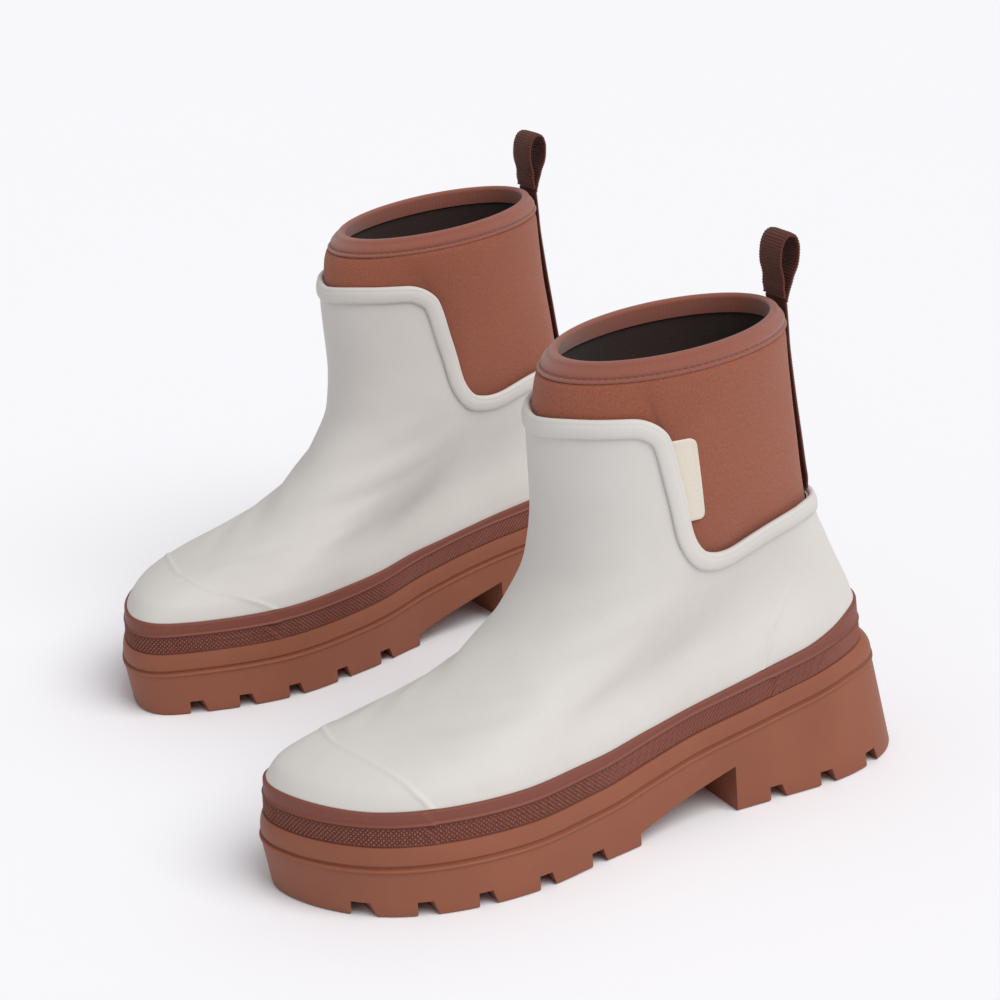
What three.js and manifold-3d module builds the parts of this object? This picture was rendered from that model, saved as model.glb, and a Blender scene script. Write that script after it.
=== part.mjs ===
// A pair of ankle-high rubber deck boots: a moulded lug outsole, a vulcanised rubber shell
// and a neoprene bootie that stands out of it as the collar.
//
// Each boot is built in its own frame: x runs from the heel to the toe, +y is the outer side
// of the foot, z is up and the floor is z = 0. The right boot is the left one mirrored.
// Every layer is a shift of one last surface, surfacePoint(round, level, outward):
// round goes 0..1 from the heel by the outer side, the toe and the inner side; level is 0 at
// the top of the outsole, 1 at the top of the foxing and TOP_LEVEL at the collar's edge.

import * as THREE from 'three';
import { mergeVertices } from 'three/addons/utils/BufferGeometryUtils.js';
import Module from 'manifold-3d';

// ---------- driving dimensions, in millimetres ----------
const SOLE_LENGTH = 295;
const BALL_WIDTH = 104;
const BOOT_HEIGHT = 209.5;
const SHAFT_LENGTH = 114;
const SHAFT_WIDTH = 80;
const SHAFT_SET = 45.5;           // from the back of the heel to the back of the collar
const SHAFT_SIDE = 2;            // how far the shaft stands to the outer side

const FOREFOOT_LIP = 22;         // height of the outsole's side wall
const HEEL_LIP = 45;
const BEAD_HEIGHT = 8.7;         // rounded bead above the side wall
const KNURL_HEIGHT = 8.4;
const FOXING_HEIGHT = 6;         // smooth strip above the knurled band, at the forefoot
const KNURL_PROUD = 2.6;
const FOXING_PROUD = 1.9;
const TREAD_ROUND = 1.2;
const GROOVE_DEPTH = 1.3;
const GROOVE_WIDTH = 1.2;

const HEEL_BREAST = 99;          // from the back of the heel to the heel block's front face
const ARCH_FRONT = 149;
const ARCH_RISE = 6;
const ARCH_HEIGHT = 21;
const LUG_CUT_WIDTH = 6;
const LUG_CUT_HEIGHT = 6.5;
const LUG_CUT_REACH = 20;
const LUG_CUT_SLOPE = 2.5;
const LUG_LINK_DEPTH = 3;
const LUG_LINK_WIDTH = 3;
const FOREFOOT_CUTS = [172, 199, 226, 250, 272];
const HEEL_CUTS = [27.5, 54, 79.5];

const SOLE_WALL = 9;             // rubber left round the outsole's pocket
const SOLE_FLOOR = 4;            // rubber left over the lug cuts
const HEEL_CORE_TOP = 36;
const SHELL_WALL = 2.4;
const STIFFENER_WALL = 0.9;
const BOOTIE_GAP = 0.8;          // between the shell and the bootie, which are faceted differently
const NEOPRENE_WALL = 3.4;
const LINING_WALL = 0.9;
const OVERLAY_WALL = 0.7;
const BINDING_REACH = 6;       // how far the binding laps down over the shell
const BINDING_PROUD = 2.5;
const BINDING_LIP = 1.6;
const COLLAR_HEM = 6.5;
const COLLAR_TAPE = 1.2;
const WEBBING_WIDTH = 16;
const WEBBING_WALL = 1.6;
const LOOP_HEIGHT = 28;
const LOOP_DEPTH = 10.5;
const LOOP_LEAN = 0.13;          // radians, backwards at rest
const LABEL_LENGTH = 36;
const LABEL_REACH = 11;
const LABEL_WALL = 0.8;
const LABEL_CLEAR = 1.2;         // from the shell's edge, under the binding's lip
const LABEL_TURN = 0.32;
const LABEL_LEAN = 0.1;          // forwards for each unit up, like the binding beside it
const FOOTBED_SET = 7;           // how deep the layers underfoot sit inside the outsole
const BOARD_WALL = 2;
const SHANK_LENGTH = 105;
const SHANK_WIDTH = 16;
const SHANK_WALL = 1.5;
const FOOTBED_WALL = 4;
const COVER_WALL = 0.8;

const GAP = 0.3;                 // kept between pieces that touch
const LINING_GAP = 0.6;          // kept between the soft layers and the webbing laid on them
const OVERLAY_GAP = 0.9;         // kept under a curved layer laid over the shell
const PAIR_SPACING = 239;        // between the two boots, measured at their middles
const RIGHT_FORWARD = -14;
const RIGHT_TOE_IN = 0.06;       // radians

// ---------- shape of the last ----------
// The outsole's lip seen from above: [share of the sole's length, share of the ball's width].
const LIP_OUTLINE = [
  [0.027, 0.02], [0.055, 0.215], [0.136, 0.341], [0.271, 0.38], [0.424, 0.39],
  [0.559, 0.452], [0.695, 0.519], [0.82, 0.476], [0.908, 0.351], [0.975, 0.12],
  [1, -0.115], [0.981, -0.27], [0.915, -0.375], [0.77, -0.481], [0.62, -0.428],
  [0.485, -0.33], [0.356, -0.327], [0.237, -0.356], [0.125, -0.332], [0.055, -0.188],
];
// Heights along the sole: [share of the sole's length, share of the rise].
const HEEL_LIFT = [
  [0, 1], [0.11, 0.98], [0.2, 0.83], [0.28, 0.68], [0.39, 0.44], [0.47, 0.23],
  [0.57, 0.04], [0.69, 0], [1, 0.04],
];
const FOXING_SHARE = [
  [0, 1.9], [0.09, 1.6], [0.14, 1.12], [0.2, 0.8], [0.29, 0.72], [0.4, 0.6], [0.5, 0.8],
  [0.64, 1], [0.9, 1.02], [1, 1.2],
];
// How far the shell stands inside the lip.
const UPPER_INSET = [
  [0, 11], [0.05, 8], [0.14, 5], [0.3, 4.6], [0.5, 5], [0.75, 4.6], [0.9, 4.7], [1, 5.4],
];
// How far the tread stands inside the lip; the heel flares outwards.
const TREAD_INSET = [
  [0, -7.5], [0.15, -4], [0.35, 0], [0.7, 0.5], [0.88, 1.5], [1, 3],
];
// One row for each level: back towards the shaft, back height, front towards the shaft,
// front height, girth, share of the shaft's oval, share of the sole's curve in height.
const LEVELS = [
  [0, 0, 1, 0, 1, 0, 1],
  [0, 0, 1, 0, 1, 0, 1],
  [0.07, 0.045, 0.962, 0.037, 0.96, 0.01, 0.93],
  [0.18, 0.105, 0.874, 0.067, 0.88, 0.05, 0.8],
  [0.3, 0.165, 0.72, 0.092, 0.81, 0.12, 0.64],
  [0.43, 0.23, 0.522, 0.13, 0.77, 0.23, 0.48],
  [0.555, 0.29, 0.338, 0.198, 0.75, 0.37, 0.34],
  [0.66, 0.36, 0.176, 0.302, 0.76, 0.52, 0.22],
  [0.73, 0.44, 0.069, 0.438, 0.77, 0.68, 0.12],
  [0.8, 0.56, 0.042, 0.592, 0.77, 0.84, 0.05],
  [0.89, 0.716, 0.044, 0.749, 0.77, 0.95, 0],
  [0.964, 0.873, 0.022, 0.887, 0.77, 1, 0],
  [1, 1, -0.018, 0.964, 0.77, 1, 0],
];
const TOP_LEVEL = LEVELS.length - 1;
// The shell's top edge, half way round: [round, level], from the heel to the front.
const SHELL_EDGE = [
  [0, 7.1], [0.055, 7.2], [0.112, 7.55], [0.168, 7.64], [0.216, 7.56], [0.255, 7.79],
  [0.282, 8.475], [0.293, 9.33], [0.306, 10.24], [0.345, 10.56], [0.415, 10.58], [0.5, 10.51],
];
const SHELL_ROWS = [0, 0.09, 0.18, 0.28, 0.4, 0.52, 0.64, 0.78, 0.91, 1];
const COLLAR_ROWS = [0.5, 1];
const TOE_CAP_EDGE = [[0.352, 1.12], [0.368, 1.85], [0.39, 2.75], [0.43, 3.6], [0.5, 3.85]];
const COUNTER_EDGE = [
  [0.155, 1.12], [0.149, 2.2], [0.14, 3.6], [0.122, 5.0], [0.06, 5.7], [0, 5.8],
];

const COLUMNS = 32;              // round the shell, bootie and lining
const BAND_COLUMNS = 48;         // round the strips outside the shell
const SOLE_COLUMNS = 56;

// ---------- small tools ----------
const wasm = await Module();
wasm.setup();

const mix = (a, b, share) => a + (b - a) * share;
const range = (count) => Array.from({ length: count }, (_, i) => i);

// A smooth curve through [position, value] stations that never overshoots them.
function along(stations, x) {
  const last = stations.length - 1;
  if (x <= stations[0][0]) return stations[0][1];
  if (x >= stations[last][0]) return stations[last][1];
  const i = stations.findIndex((station) => station[0] > x) - 1;
  const slope = (k) => (stations[k + 1][1] - stations[k][1]) / (stations[k + 1][0] - stations[k][0]);
  const tangent = (k) => {
    if (k === 0) return slope(0);
    if (k === last) return slope(last - 1);
    const before = slope(k - 1);
    const after = slope(k);
    return before * after <= 0 ? 0 : (2 * before * after) / (before + after);
  };
  const step = stations[i + 1][0] - stations[i][0];
  const t = (x - stations[i][0]) / step;
  const bend = t * t * (3 - 2 * t);
  const start = step * tangent(i) * t * (1 - t) * (1 - t);
  const end = step * tangent(i + 1) * t * t * (t - 1);
  return mix(stations[i][1], stations[i + 1][1], bend) + start + end;
}

// A column of the level table, read at any level.
const levelColumn = (column) => LEVELS.map((row, level) => [level, row[column]]);
const LEVEL_COLUMNS = range(LEVELS[0].length).map(levelColumn);

// ---------- the sole's lines ----------
const lipCurve = new THREE.CatmullRomCurve3(
  LIP_OUTLINE.map(([x, y]) => new THREE.Vector3(x * SOLE_LENGTH, y * BALL_WIDTH, 0)), true,
);

function lipPoint(round, inset) {
  const u = ((round % 1) + 1) % 1;
  const point = lipCurve.getPoint(u);
  const direction = lipCurve.getTangent(u);
  return new THREE.Vector2(point.x + direction.y * inset, point.y - direction.x * inset);
}

const share = (x) => x / SOLE_LENGTH;
const lipHeight = (x) => mix(FOREFOOT_LIP, HEEL_LIP, along(HEEL_LIFT, share(x)));
const soleTop = (x) => lipHeight(x) + BEAD_HEIGHT;
const seatTop = (x) => soleTop(x) - FOOTBED_SET;
const knurlTop = (x) => soleTop(x) + KNURL_HEIGHT;
const foxingTop = (x) => knurlTop(x) + FOXING_HEIGHT * along(FOXING_SHARE, share(x));

function lipRing(inset, height, columns = SOLE_COLUMNS) {
  return range(columns).map((i) => {
    const round = i / columns;
    const edge = lipPoint(round, 0);
    const flat = lipPoint(round, typeof inset === 'function' ? inset(share(edge.x)) : inset);
    return new THREE.Vector3(flat.x, flat.y, height(edge.x));
  });
}

// ---------- the last surface ----------
function basePoint(round) {
  const edge = lipPoint(round, 0);
  return { edge, foot: lipPoint(round, along(UPPER_INSET, share(edge.x))) };
}

const heelBase = basePoint(0);
const toeBase = basePoint(0.5);

function lastPoint(round, level) {
  const [back, backRise, front, frontRise, girth, oval, curve] = LEVEL_COLUMNS.map(
    (stations) => along(stations, level),
  );
  const { edge, foot } = basePoint(round);
  const baseHeight = level < 1
    ? mix(soleTop(edge.x) + GAP, foxingTop(edge.x), level)
    : foxingTop(edge.x);
  const low = level < 1 ? level : 1;
  const backBase = mix(soleTop(heelBase.edge.x) + GAP, foxingTop(heelBase.edge.x), low);
  const frontBase = mix(soleTop(toeBase.edge.x) + GAP, foxingTop(toeBase.edge.x), low);
  const backX = mix(heelBase.foot.x, SHAFT_SET, back);
  const frontX = mix(SHAFT_SET + SHAFT_LENGTH, toeBase.foot.x, front);
  const backZ = mix(backBase, BOOT_HEIGHT, backRise);
  const frontZ = mix(frontBase, BOOT_HEIGHT, frontRise);
  const footShare = (foot.x - heelBase.foot.x) / (toeBase.foot.x - heelBase.foot.x);
  const angle = 2 * Math.PI * round;
  const ovalShare = (1 - Math.cos(angle)) / 2;
  const ovalSide = SHAFT_SIDE + (SHAFT_WIDTH / 2) * Math.sin(angle);
  const lengthShare = mix(footShare, ovalShare, oval);
  const sag = baseHeight - mix(backBase, frontBase, footShare);
  return new THREE.Vector3(
    mix(backX, frontX, lengthShare),
    mix(foot.y * girth, ovalSide, oval),
    mix(backZ, frontZ, lengthShare) + sag * curve,
  );
}

function surfaceNormal(round, level) {
  const step = 0.004;
  const ahead = lastPoint(round + step, level).sub(lastPoint(round - step, level));
  const lower = Math.max(level - 0.05, 0);
  const upper = Math.min(level + 0.05, TOP_LEVEL);
  const upward = lastPoint(round, upper).sub(lastPoint(round, lower));
  return upward.cross(ahead).normalize();
}

const surfacePoint = (round, level, outward) => lastPoint(round, level)
  .addScaledVector(surfaceNormal(round, level), outward);

// The shell's top edge and the columns that run up to it. A column starts evenly spaced at
// the sole, and leans back or forward to meet the edge at its own place.
function edgeAt(turn) {
  const u = ((turn % 1) + 1) % 1;
  const half = u <= 0.5 ? u : 1 - u;
  const place = half * 2 * (SHELL_EDGE.length - 1);
  const stations = (column) => SHELL_EDGE.map((point, i) => [i, point[column]]);
  const round = along(stations(0), place);
  return { round: u <= 0.5 ? round : 1 - round, level: along(stations(1), place) };
}

function columnPlace(place, row) {
  const turn = ((place % 1) + 1) % 1;
  const edge = edgeAt(turn);
  if (row <= 1) return [mix(turn, edge.round, row), edge.level * row];
  const above = row - 1;
  return [mix(edge.round, turn, above), mix(edge.level, TOP_LEVEL, above)];
}

// ---------- solids from rings of points ----------
// Rings of equal length are skinned in order. A closed loft joins the last ring to the
// first; an open one is capped by a ladder across each end ring. From ring number flipFrom
// the quads are split the other way, so that the two faces of a wall split alike.
function loft(rings, { closed = false, capShift = 0, flipFrom = Infinity } = {}) {
  const size = rings[0].length;
  const positions = rings.flat().flatMap((point) => [point.x, point.y, point.z]);
  const triangles = [];
  const at = (ring, i) => (ring % rings.length) * size + (((i % size) + size) % size);
  const add = (...corners) => {
    const [a, b, c, d] = corners;
    if (a !== b && b !== c && a !== c) triangles.push([a, b, c]);
    if (a !== c && c !== d && a !== d) triangles.push([a, c, d]);
  };
  range(closed ? rings.length : rings.length - 1).forEach((ring) => {
    range(size).forEach((i) => {
      const quad = [at(ring, i), at(ring, i + 1), at(ring + 1, i + 1), at(ring + 1, i)];
      add(...(ring < flipFrom ? quad : [...quad.slice(1), quad[0]]));
    });
  });
  if (!closed) {
    const rungs = Math.ceil((size + capShift) / 2);
    const top = rings.length - 1;
    range(rungs).forEach((i) => {
      const far = capShift - i;
      if (i + 1 > (size + capShift) / 2) return;
      add(at(0, i), at(0, far), at(0, far - 1), at(0, i + 1));
      add(at(top, i), at(top, i + 1), at(top, far - 1), at(top, far));
    });
  }
  return solid(positions, triangles.flat());
}

function solid(positions, index) {
  const corner = (i) => new THREE.Vector3().fromArray(positions, index[i] * 3);
  let volume = 0;
  for (let i = 0; i < index.length; i += 3) {
    volume += corner(i).dot(corner(i + 1).cross(corner(i + 2)));
  }
  const order = volume < 0 ? index.slice().reverse() : index;
  const geometry = new THREE.BufferGeometry();
  geometry.setAttribute('position', new THREE.Float32BufferAttribute(positions, 3));
  geometry.setIndex(order);
  return geometry;
}

// A band right round the boot: each corner of its section is a function of the turn 0..1.
const band = (corners, columns, flipFrom) => loft(
  corners.map((corner) => range(columns).map((i) => corner(i / columns))),
  { closed: true, flipFrom },
);

// A patch with a wall: place(i, j) is [round, level], and rows run up the boot.
function patch(columns, rows, place, inner, outer) {
  const rings = range(rows + 1).map((j) => {
    const line = range(columns + 1).map((i) => place(i / columns, j / rows));
    const lift = (amount) => (typeof amount === 'function' ? amount(j / rows) : amount);
    const outside = line.map(([round, level]) => surfacePoint(round, level, lift(outer)));
    const inside = line.map(([round, level]) => surfacePoint(round, level, lift(inner)));
    return [...outside, ...inside.reverse()];
  });
  return loft(rings, { capShift: -1 });
}

// A plate that follows the sole's outline, between two heights given along x.
const plate = (inset, bottom, top, columns = BAND_COLUMNS) => loft(
  [lipRing(inset, bottom, columns), lipRing(inset, top, columns)],
);

function toManifold(geometry) {
  const bare = geometry.clone();
  bare.deleteAttribute('normal');
  bare.deleteAttribute('uv');
  const merged = mergeVertices(bare, 1e-4);
  return new wasm.Manifold(new wasm.Mesh({
    numProp: 3,
    vertProperties: new Float32Array(merged.attributes.position.array),
    triVerts: new Uint32Array(merged.index.array),
  }));
}

function fromManifold(manifold) {
  const mesh = manifold.getMesh();
  const geometry = new THREE.BufferGeometry();
  geometry.setAttribute('position', new THREE.Float32BufferAttribute(mesh.vertProperties, 3));
  geometry.setIndex(Array.from(mesh.triVerts));
  return geometry;
}

const cut = (geometry, cutters) => fromManifold(cutters.reduce(
  (left, cutter) => left.subtract(toManifold(cutter)), toManifold(geometry),
));

// ---------- sole unit ----------
const treadInset = (s) => along(TREAD_INSET, s);
const CORE_FLOOR = LUG_CUT_HEIGHT + SOLE_FLOOR;

// A block through the whole width, from a side profile in x and z.
function crossBlock(profile, fromY, toY) {
  const shape = new THREE.Shape(profile.map(([x, z]) => new THREE.Vector2(x, z)));
  const block = new THREE.ExtrudeGeometry(shape, { depth: toY - fromY, bevelEnabled: false });
  block.rotateX(Math.PI / 2);
  block.translate(0, toY, 0);
  return block;
}

// The gap under the arch, or with a margin the rubber that is left round it.
const archBlock = (margin, lift) => crossBlock([
  [HEEL_BREAST - margin, -1], [ARCH_FRONT + margin, -1], [ARCH_FRONT + margin, ARCH_RISE + lift],
  [HEEL_BREAST - margin, ARCH_HEIGHT + lift],
], -BALL_WIDTH, BALL_WIDTH);

// The cuts between the lugs: one from each side, with a shallow link across the tread.
function lugCuts() {
  const below = -1;
  const half = LUG_CUT_WIDTH / 2;
  return [...FOREFOOT_CUTS, ...HEEL_CUTS].flatMap((x) => {
    const place = x / SOLE_LENGTH;
    const sides = LIP_OUTLINE.map(([s]) => s);
    const toe = sides.indexOf(Math.max(...sides));
    const lateral = LIP_OUTLINE.slice(0, toe + 1);
    const medial = [...LIP_OUTLINE.slice(toe), LIP_OUTLINE[0]].reverse();
    const outer = along(lateral, place) * BALL_WIDTH;
    const inner = along(medial, place) * BALL_WIDTH;
    const profile = [
      [x - half - LUG_CUT_SLOPE, below], [x + half, below], [x + half, LUG_CUT_HEIGHT],
      [x - half, LUG_CUT_HEIGHT],
    ];
    const link = [
      [x - LUG_LINK_WIDTH / 2, below], [x + LUG_LINK_WIDTH / 2, below],
      [x + LUG_LINK_WIDTH / 2, LUG_LINK_DEPTH], [x - LUG_LINK_WIDTH / 2, LUG_LINK_DEPTH],
    ];
    return [
      crossBlock(profile, outer - LUG_CUT_REACH, outer + SOLE_WALL),
      crossBlock(profile, inner - SOLE_WALL, inner + LUG_CUT_REACH),
      crossBlock(link, inner + LUG_CUT_REACH - 1, outer - LUG_CUT_REACH + 1),
    ];
  });
}

function outsole() {
  const beadInset = (rise) => (s) => mix(GROOVE_DEPTH * 0.6, along(UPPER_INSET, s) - KNURL_PROUD
    - 0.4, rise * rise);
  const body = loft([
    lipRing((s) => treadInset(s) + TREAD_ROUND, () => 0),
    lipRing(treadInset, () => TREAD_ROUND),
    lipRing((s) => treadInset(s) * 0.45, (x) => lipHeight(x) * 0.55),
    lipRing(0, (x) => lipHeight(x) - GROOVE_WIDTH),
    lipRing(GROOVE_DEPTH, lipHeight),
    lipRing(beadInset(0.1), (x) => lipHeight(x) + BEAD_HEIGHT * 0.18),
    lipRing(beadInset(0.55), (x) => lipHeight(x) + BEAD_HEIGHT * 0.62),
    lipRing(beadInset(1), soleTop),
  ]);
  const pocket = plate(SOLE_WALL, () => CORE_FLOOR, (x) => soleTop(x) + 1);
  const pocketOverArch = cut(pocket, [archBlock(SOLE_WALL, SOLE_FLOOR)]);
  return cut(body, [pocketOverArch, archBlock(0, 0), ...lugCuts()]);
}

// The heel core fills the pocket's back; the foam wedge fills the rest, over the core.
const coreFront = HEEL_BREAST - SOLE_WALL - GAP;

const box = (fromX, toX, fromZ, toZ) => crossBlock(
  [[fromX, fromZ], [toX, fromZ], [toX, toZ], [fromX, toZ]], -BALL_WIDTH, BALL_WIDTH,
);

function midsoleFiller() {
  const wedge = plate(SOLE_WALL + GAP, () => CORE_FLOOR + GAP, seatTop);
  return cut(wedge, [
    archBlock(SOLE_WALL + GAP, SOLE_FLOOR + GAP),
    box(-SOLE_WALL, coreFront + GAP, 0, HEEL_CORE_TOP + GAP),
    shankBlock(SHANK_WIDTH / 2 + GAP, GAP, GAP + 1, GAP),
  ]);
}

function heelCore() {
  const block = plate(SOLE_WALL + GAP, () => CORE_FLOOR + GAP, () => HEEL_CORE_TOP);
  return cut(block, [box(coreFront, SOLE_LENGTH + SOLE_WALL, 0, BOOT_HEIGHT)]);
}

// A strip under the insole board that follows the top of the foam.
function shankBlock(halfWidth, under, over, longer) {
  const start = HEEL_BREAST - SHANK_LENGTH / 2 - longer;
  const end = HEEL_BREAST + SHANK_LENGTH / 2 + longer;
  const steps = 8;
  const rings = range(steps + 1).map((i) => {
    const x = mix(start, end, i / steps);
    const top = seatTop(x) + over;
    const bottom = seatTop(x) - SHANK_WALL - under;
    return [
      new THREE.Vector3(x, -halfWidth, bottom), new THREE.Vector3(x, halfWidth, bottom),
      new THREE.Vector3(x, halfWidth, top), new THREE.Vector3(x, -halfWidth, top),
    ];
  });
  return loft(rings, { capShift: -1 });
}

const shank = () => shankBlock(SHANK_WIDTH / 2, 0, 0, 0);

const innerInset = (s) => along(UPPER_INSET, s) - bootieBack(0);
const layer = (inset, from, thickness) => plate(inset, (x) => seatTop(x) + from,
  (x) => seatTop(x) + from + thickness);
const footbedInset = (s) => innerInset(s) + 2;
const insoleBoard = () => layer(() => SOLE_WALL + GAP, GAP, BOARD_WALL);
const footbed = () => layer(footbedInset, BOARD_WALL + 2 * GAP, FOOTBED_WALL);
const footbedCover = () => layer(footbedInset, BOARD_WALL + FOOTBED_WALL + 3 * GAP, COVER_WALL);

// ---------- strips round the sole's edge ----------
function stripBand(outTop, outBottom, bottomLine, topLine) {
  const point = (proud, line) => (turn) => {
    const edge = lipPoint(turn, 0);
    const inset = along(UPPER_INSET, share(edge.x));
    const flat = lipPoint(turn, inset - proud);
    return new THREE.Vector3(flat.x, flat.y, line(edge.x));
  };
  return band([
    point(OVERLAY_GAP, bottomLine), point(outBottom, bottomLine), point(outTop, topLine),
    point(OVERLAY_GAP, topLine),
  ], BAND_COLUMNS);
}

const knurledBand = () => stripBand(KNURL_PROUD - 0.4, KNURL_PROUD, (x) => soleTop(x) + GAP, knurlTop);
const foxingStrip = () => stripBand(FOXING_PROUD - 0.5, FOXING_PROUD, (x) => knurlTop(x) + GAP, foxingTop);

// ---------- upper ----------
function shellLayer(rows, outer, inner) {
  const line = (row, amount) => (turn) => {
    const [round, level] = columnPlace(turn, row);
    return surfacePoint(round, level, amount(level));
  };
  return band([
    ...rows.map((row) => line(row, outer)),
    ...rows.slice().reverse().map((row) => line(row, inner)),
  ], COLUMNS, rows.length);
}

const rubberShell = () => shellLayer(SHELL_ROWS, () => 0, () => -SHELL_WALL);

// The bootie stands off the shell by the stiffeners low down, and meets it higher up.
const bootieFace = (level) => -(SHELL_WALL + BOOTIE_GAP
  + (STIFFENER_WALL + GAP) * Math.min(1, Math.max(0, 7 - level)));
const bootieBack = (level) => bootieFace(level) - NEOPRENE_WALL;
const bootieRows = [
  ...SHELL_ROWS.filter((_, row) => row % 2 === 0 || row > 3),
  ...COLLAR_ROWS.map((row) => 1 + row),
];
const neopreneBootie = () => shellLayer(bootieRows, bootieFace, bootieBack);

const liningRows = bootieRows.filter((row) => row > SHELL_ROWS[5]);
const shaftLining = () => shellLayer(liningRows, (level) => bootieBack(level) - LINING_GAP,
  (level) => bootieBack(level) - LINING_GAP - LINING_WALL);

// A stiffener between the shell and the bootie, on the shell's own rows and columns.
function stiffener(middle, halfColumns, rows) {
  const depth = SHELL_WALL + GAP;
  const place = (i, j) => columnPlace(
    middle + (i * 2 - 1) * (halfColumns / COLUMNS),
    SHELL_ROWS[Math.round(j * rows) + 1],
  );
  return patch(halfColumns * 2, rows, place, -depth - STIFFENER_WALL, -depth);
}

const toePuff = () => stiffener(0.5, 5, 2);
const heelStiffener = () => stiffener(0, 5, 5);

// An overlay between the top of the foxing and a curved edge; the edge is half of it.
function overlay(middle, edge, columns, rows) {
  const stations = (column) => edge.map((point, i) => [i / (edge.length - 1), point[column]]);
  const narrow = 0.93;
  const place = (i, j) => {
    const half = Math.abs(i * 2 - 1);
    const side = i < 0.5 ? 1 : -1;
    const out = Math.abs(middle - along(stations(0), 1 - half));
    const edgeRound = middle - side * out;
    const baseRound = middle - side * half * Math.abs(middle - edge[0][0]) * narrow;
    return [mix(baseRound, edgeRound, j), mix(edge[0][1], along(stations(1), 1 - half), j)];
  };
  return patch(columns, rows, place, OVERLAY_GAP, OVERLAY_GAP + OVERLAY_WALL);
}

const toeCap = () => overlay(0.5, TOE_CAP_EDGE, 14, 5);
const heelCounter = () => overlay(0, COUNTER_EDGE, 18, 5);

// ---------- edges ----------
function edgeFrame(turn) {
  const step = 0.004;
  const place = (t) => {
    const edge = edgeAt(t);
    return lastPoint(edge.round, edge.level);
  };
  const { round, level } = edgeAt(turn);
  const outward = surfaceNormal(round, level);
  const ahead = place(turn + step).sub(place(turn - step)).normalize();
  return { point: place(turn), outward, upward: outward.clone().cross(ahead).negate() };
}

// The rolled binding laps over the shell's edge: [outward, up from the edge] corners.
function shellBinding() {
  const corners = [
    [OVERLAY_GAP, -BINDING_REACH], [BINDING_PROUD, -BINDING_REACH + 1.4],
    [BINDING_PROUD, 0], [BINDING_PROUD - 1.2, BINDING_LIP], [-1, BINDING_LIP], [-1, GAP],
    [OVERLAY_GAP, GAP],
  ];
  return band(corners.map(([out, rise]) => (turn) => {
    const { point, outward, upward } = edgeFrame(turn);
    return point.addScaledVector(outward, out).addScaledVector(upward, rise);
  }), COLUMNS);
}

// The tape folded over the collar's edge: [outward, up from the edge] corners.
function collarBinding() {
  const face = bootieFace(TOP_LEVEL) + LINING_GAP;
  const back = bootieBack(TOP_LEVEL) - LINING_WALL - 4 * LINING_GAP;
  const corners = [
    [face, -COLLAR_HEM], [face + COLLAR_TAPE, -COLLAR_HEM], [face + COLLAR_TAPE, 0.4],
    [mix(face, back, 0.5), COLLAR_TAPE + GAP], [back - COLLAR_TAPE, 0.4],
    [back - COLLAR_TAPE, -COLLAR_HEM], [back, -COLLAR_HEM], [back, GAP], [face, GAP],
  ];
  return band(corners.map(([out, rise]) => (turn) => {
    const outward = surfaceNormal(turn, TOP_LEVEL).setZ(0).normalize();
    const edge = lastPoint(turn, TOP_LEVEL);
    const below = lastPoint(turn, TOP_LEVEL - 0.6);
    const upright = edge.clone().sub(below).normalize();
    return edge.addScaledVector(outward, out).addScaledVector(upright, rise);
  }), COLUMNS);
}

// ---------- webbing, loop and label ----------
const hemLevel = TOP_LEVEL - COLLAR_HEM / ((BOOT_HEIGHT - foxingTop(0))
  * (1 - LEVELS[TOP_LEVEL - 1][1]));
const tapeFace = bootieFace(TOP_LEVEL) + COLLAR_TAPE + LINING_GAP + GAP;
const webbingHalf = WEBBING_WIDTH / 2 / (Math.PI * SHAFT_WIDTH * 1.15);

function backWebbing() {
  const bottom = SHELL_EDGE[0][1] + 0.46;
  const levels = [bottom, 8.3, 9.6, 10.7, hemLevel - 0.12, TOP_LEVEL];
  const rows = levels.length - 1;
  const lifts = levels.map((level, row) => (row < rows - 1 ? bootieFace(TOP_LEVEL) + OVERLAY_GAP : tapeFace));
  const place = (i, j) => [(i * 2 - 1) * webbingHalf, levels[Math.round(j * rows)]];
  return patch(4, rows, place, (j) => lifts[Math.round(j * rows)],
    (j) => lifts[Math.round(j * rows)] + WEBBING_WALL);
}

const loopHinge = (() => {
  const back = surfacePoint(0, TOP_LEVEL, tapeFace + WEBBING_WALL / 2);
  return new THREE.Vector3(back.x, SHAFT_SIDE, BOOT_HEIGHT + WEBBING_WALL + GAP + 1);
})();

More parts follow.
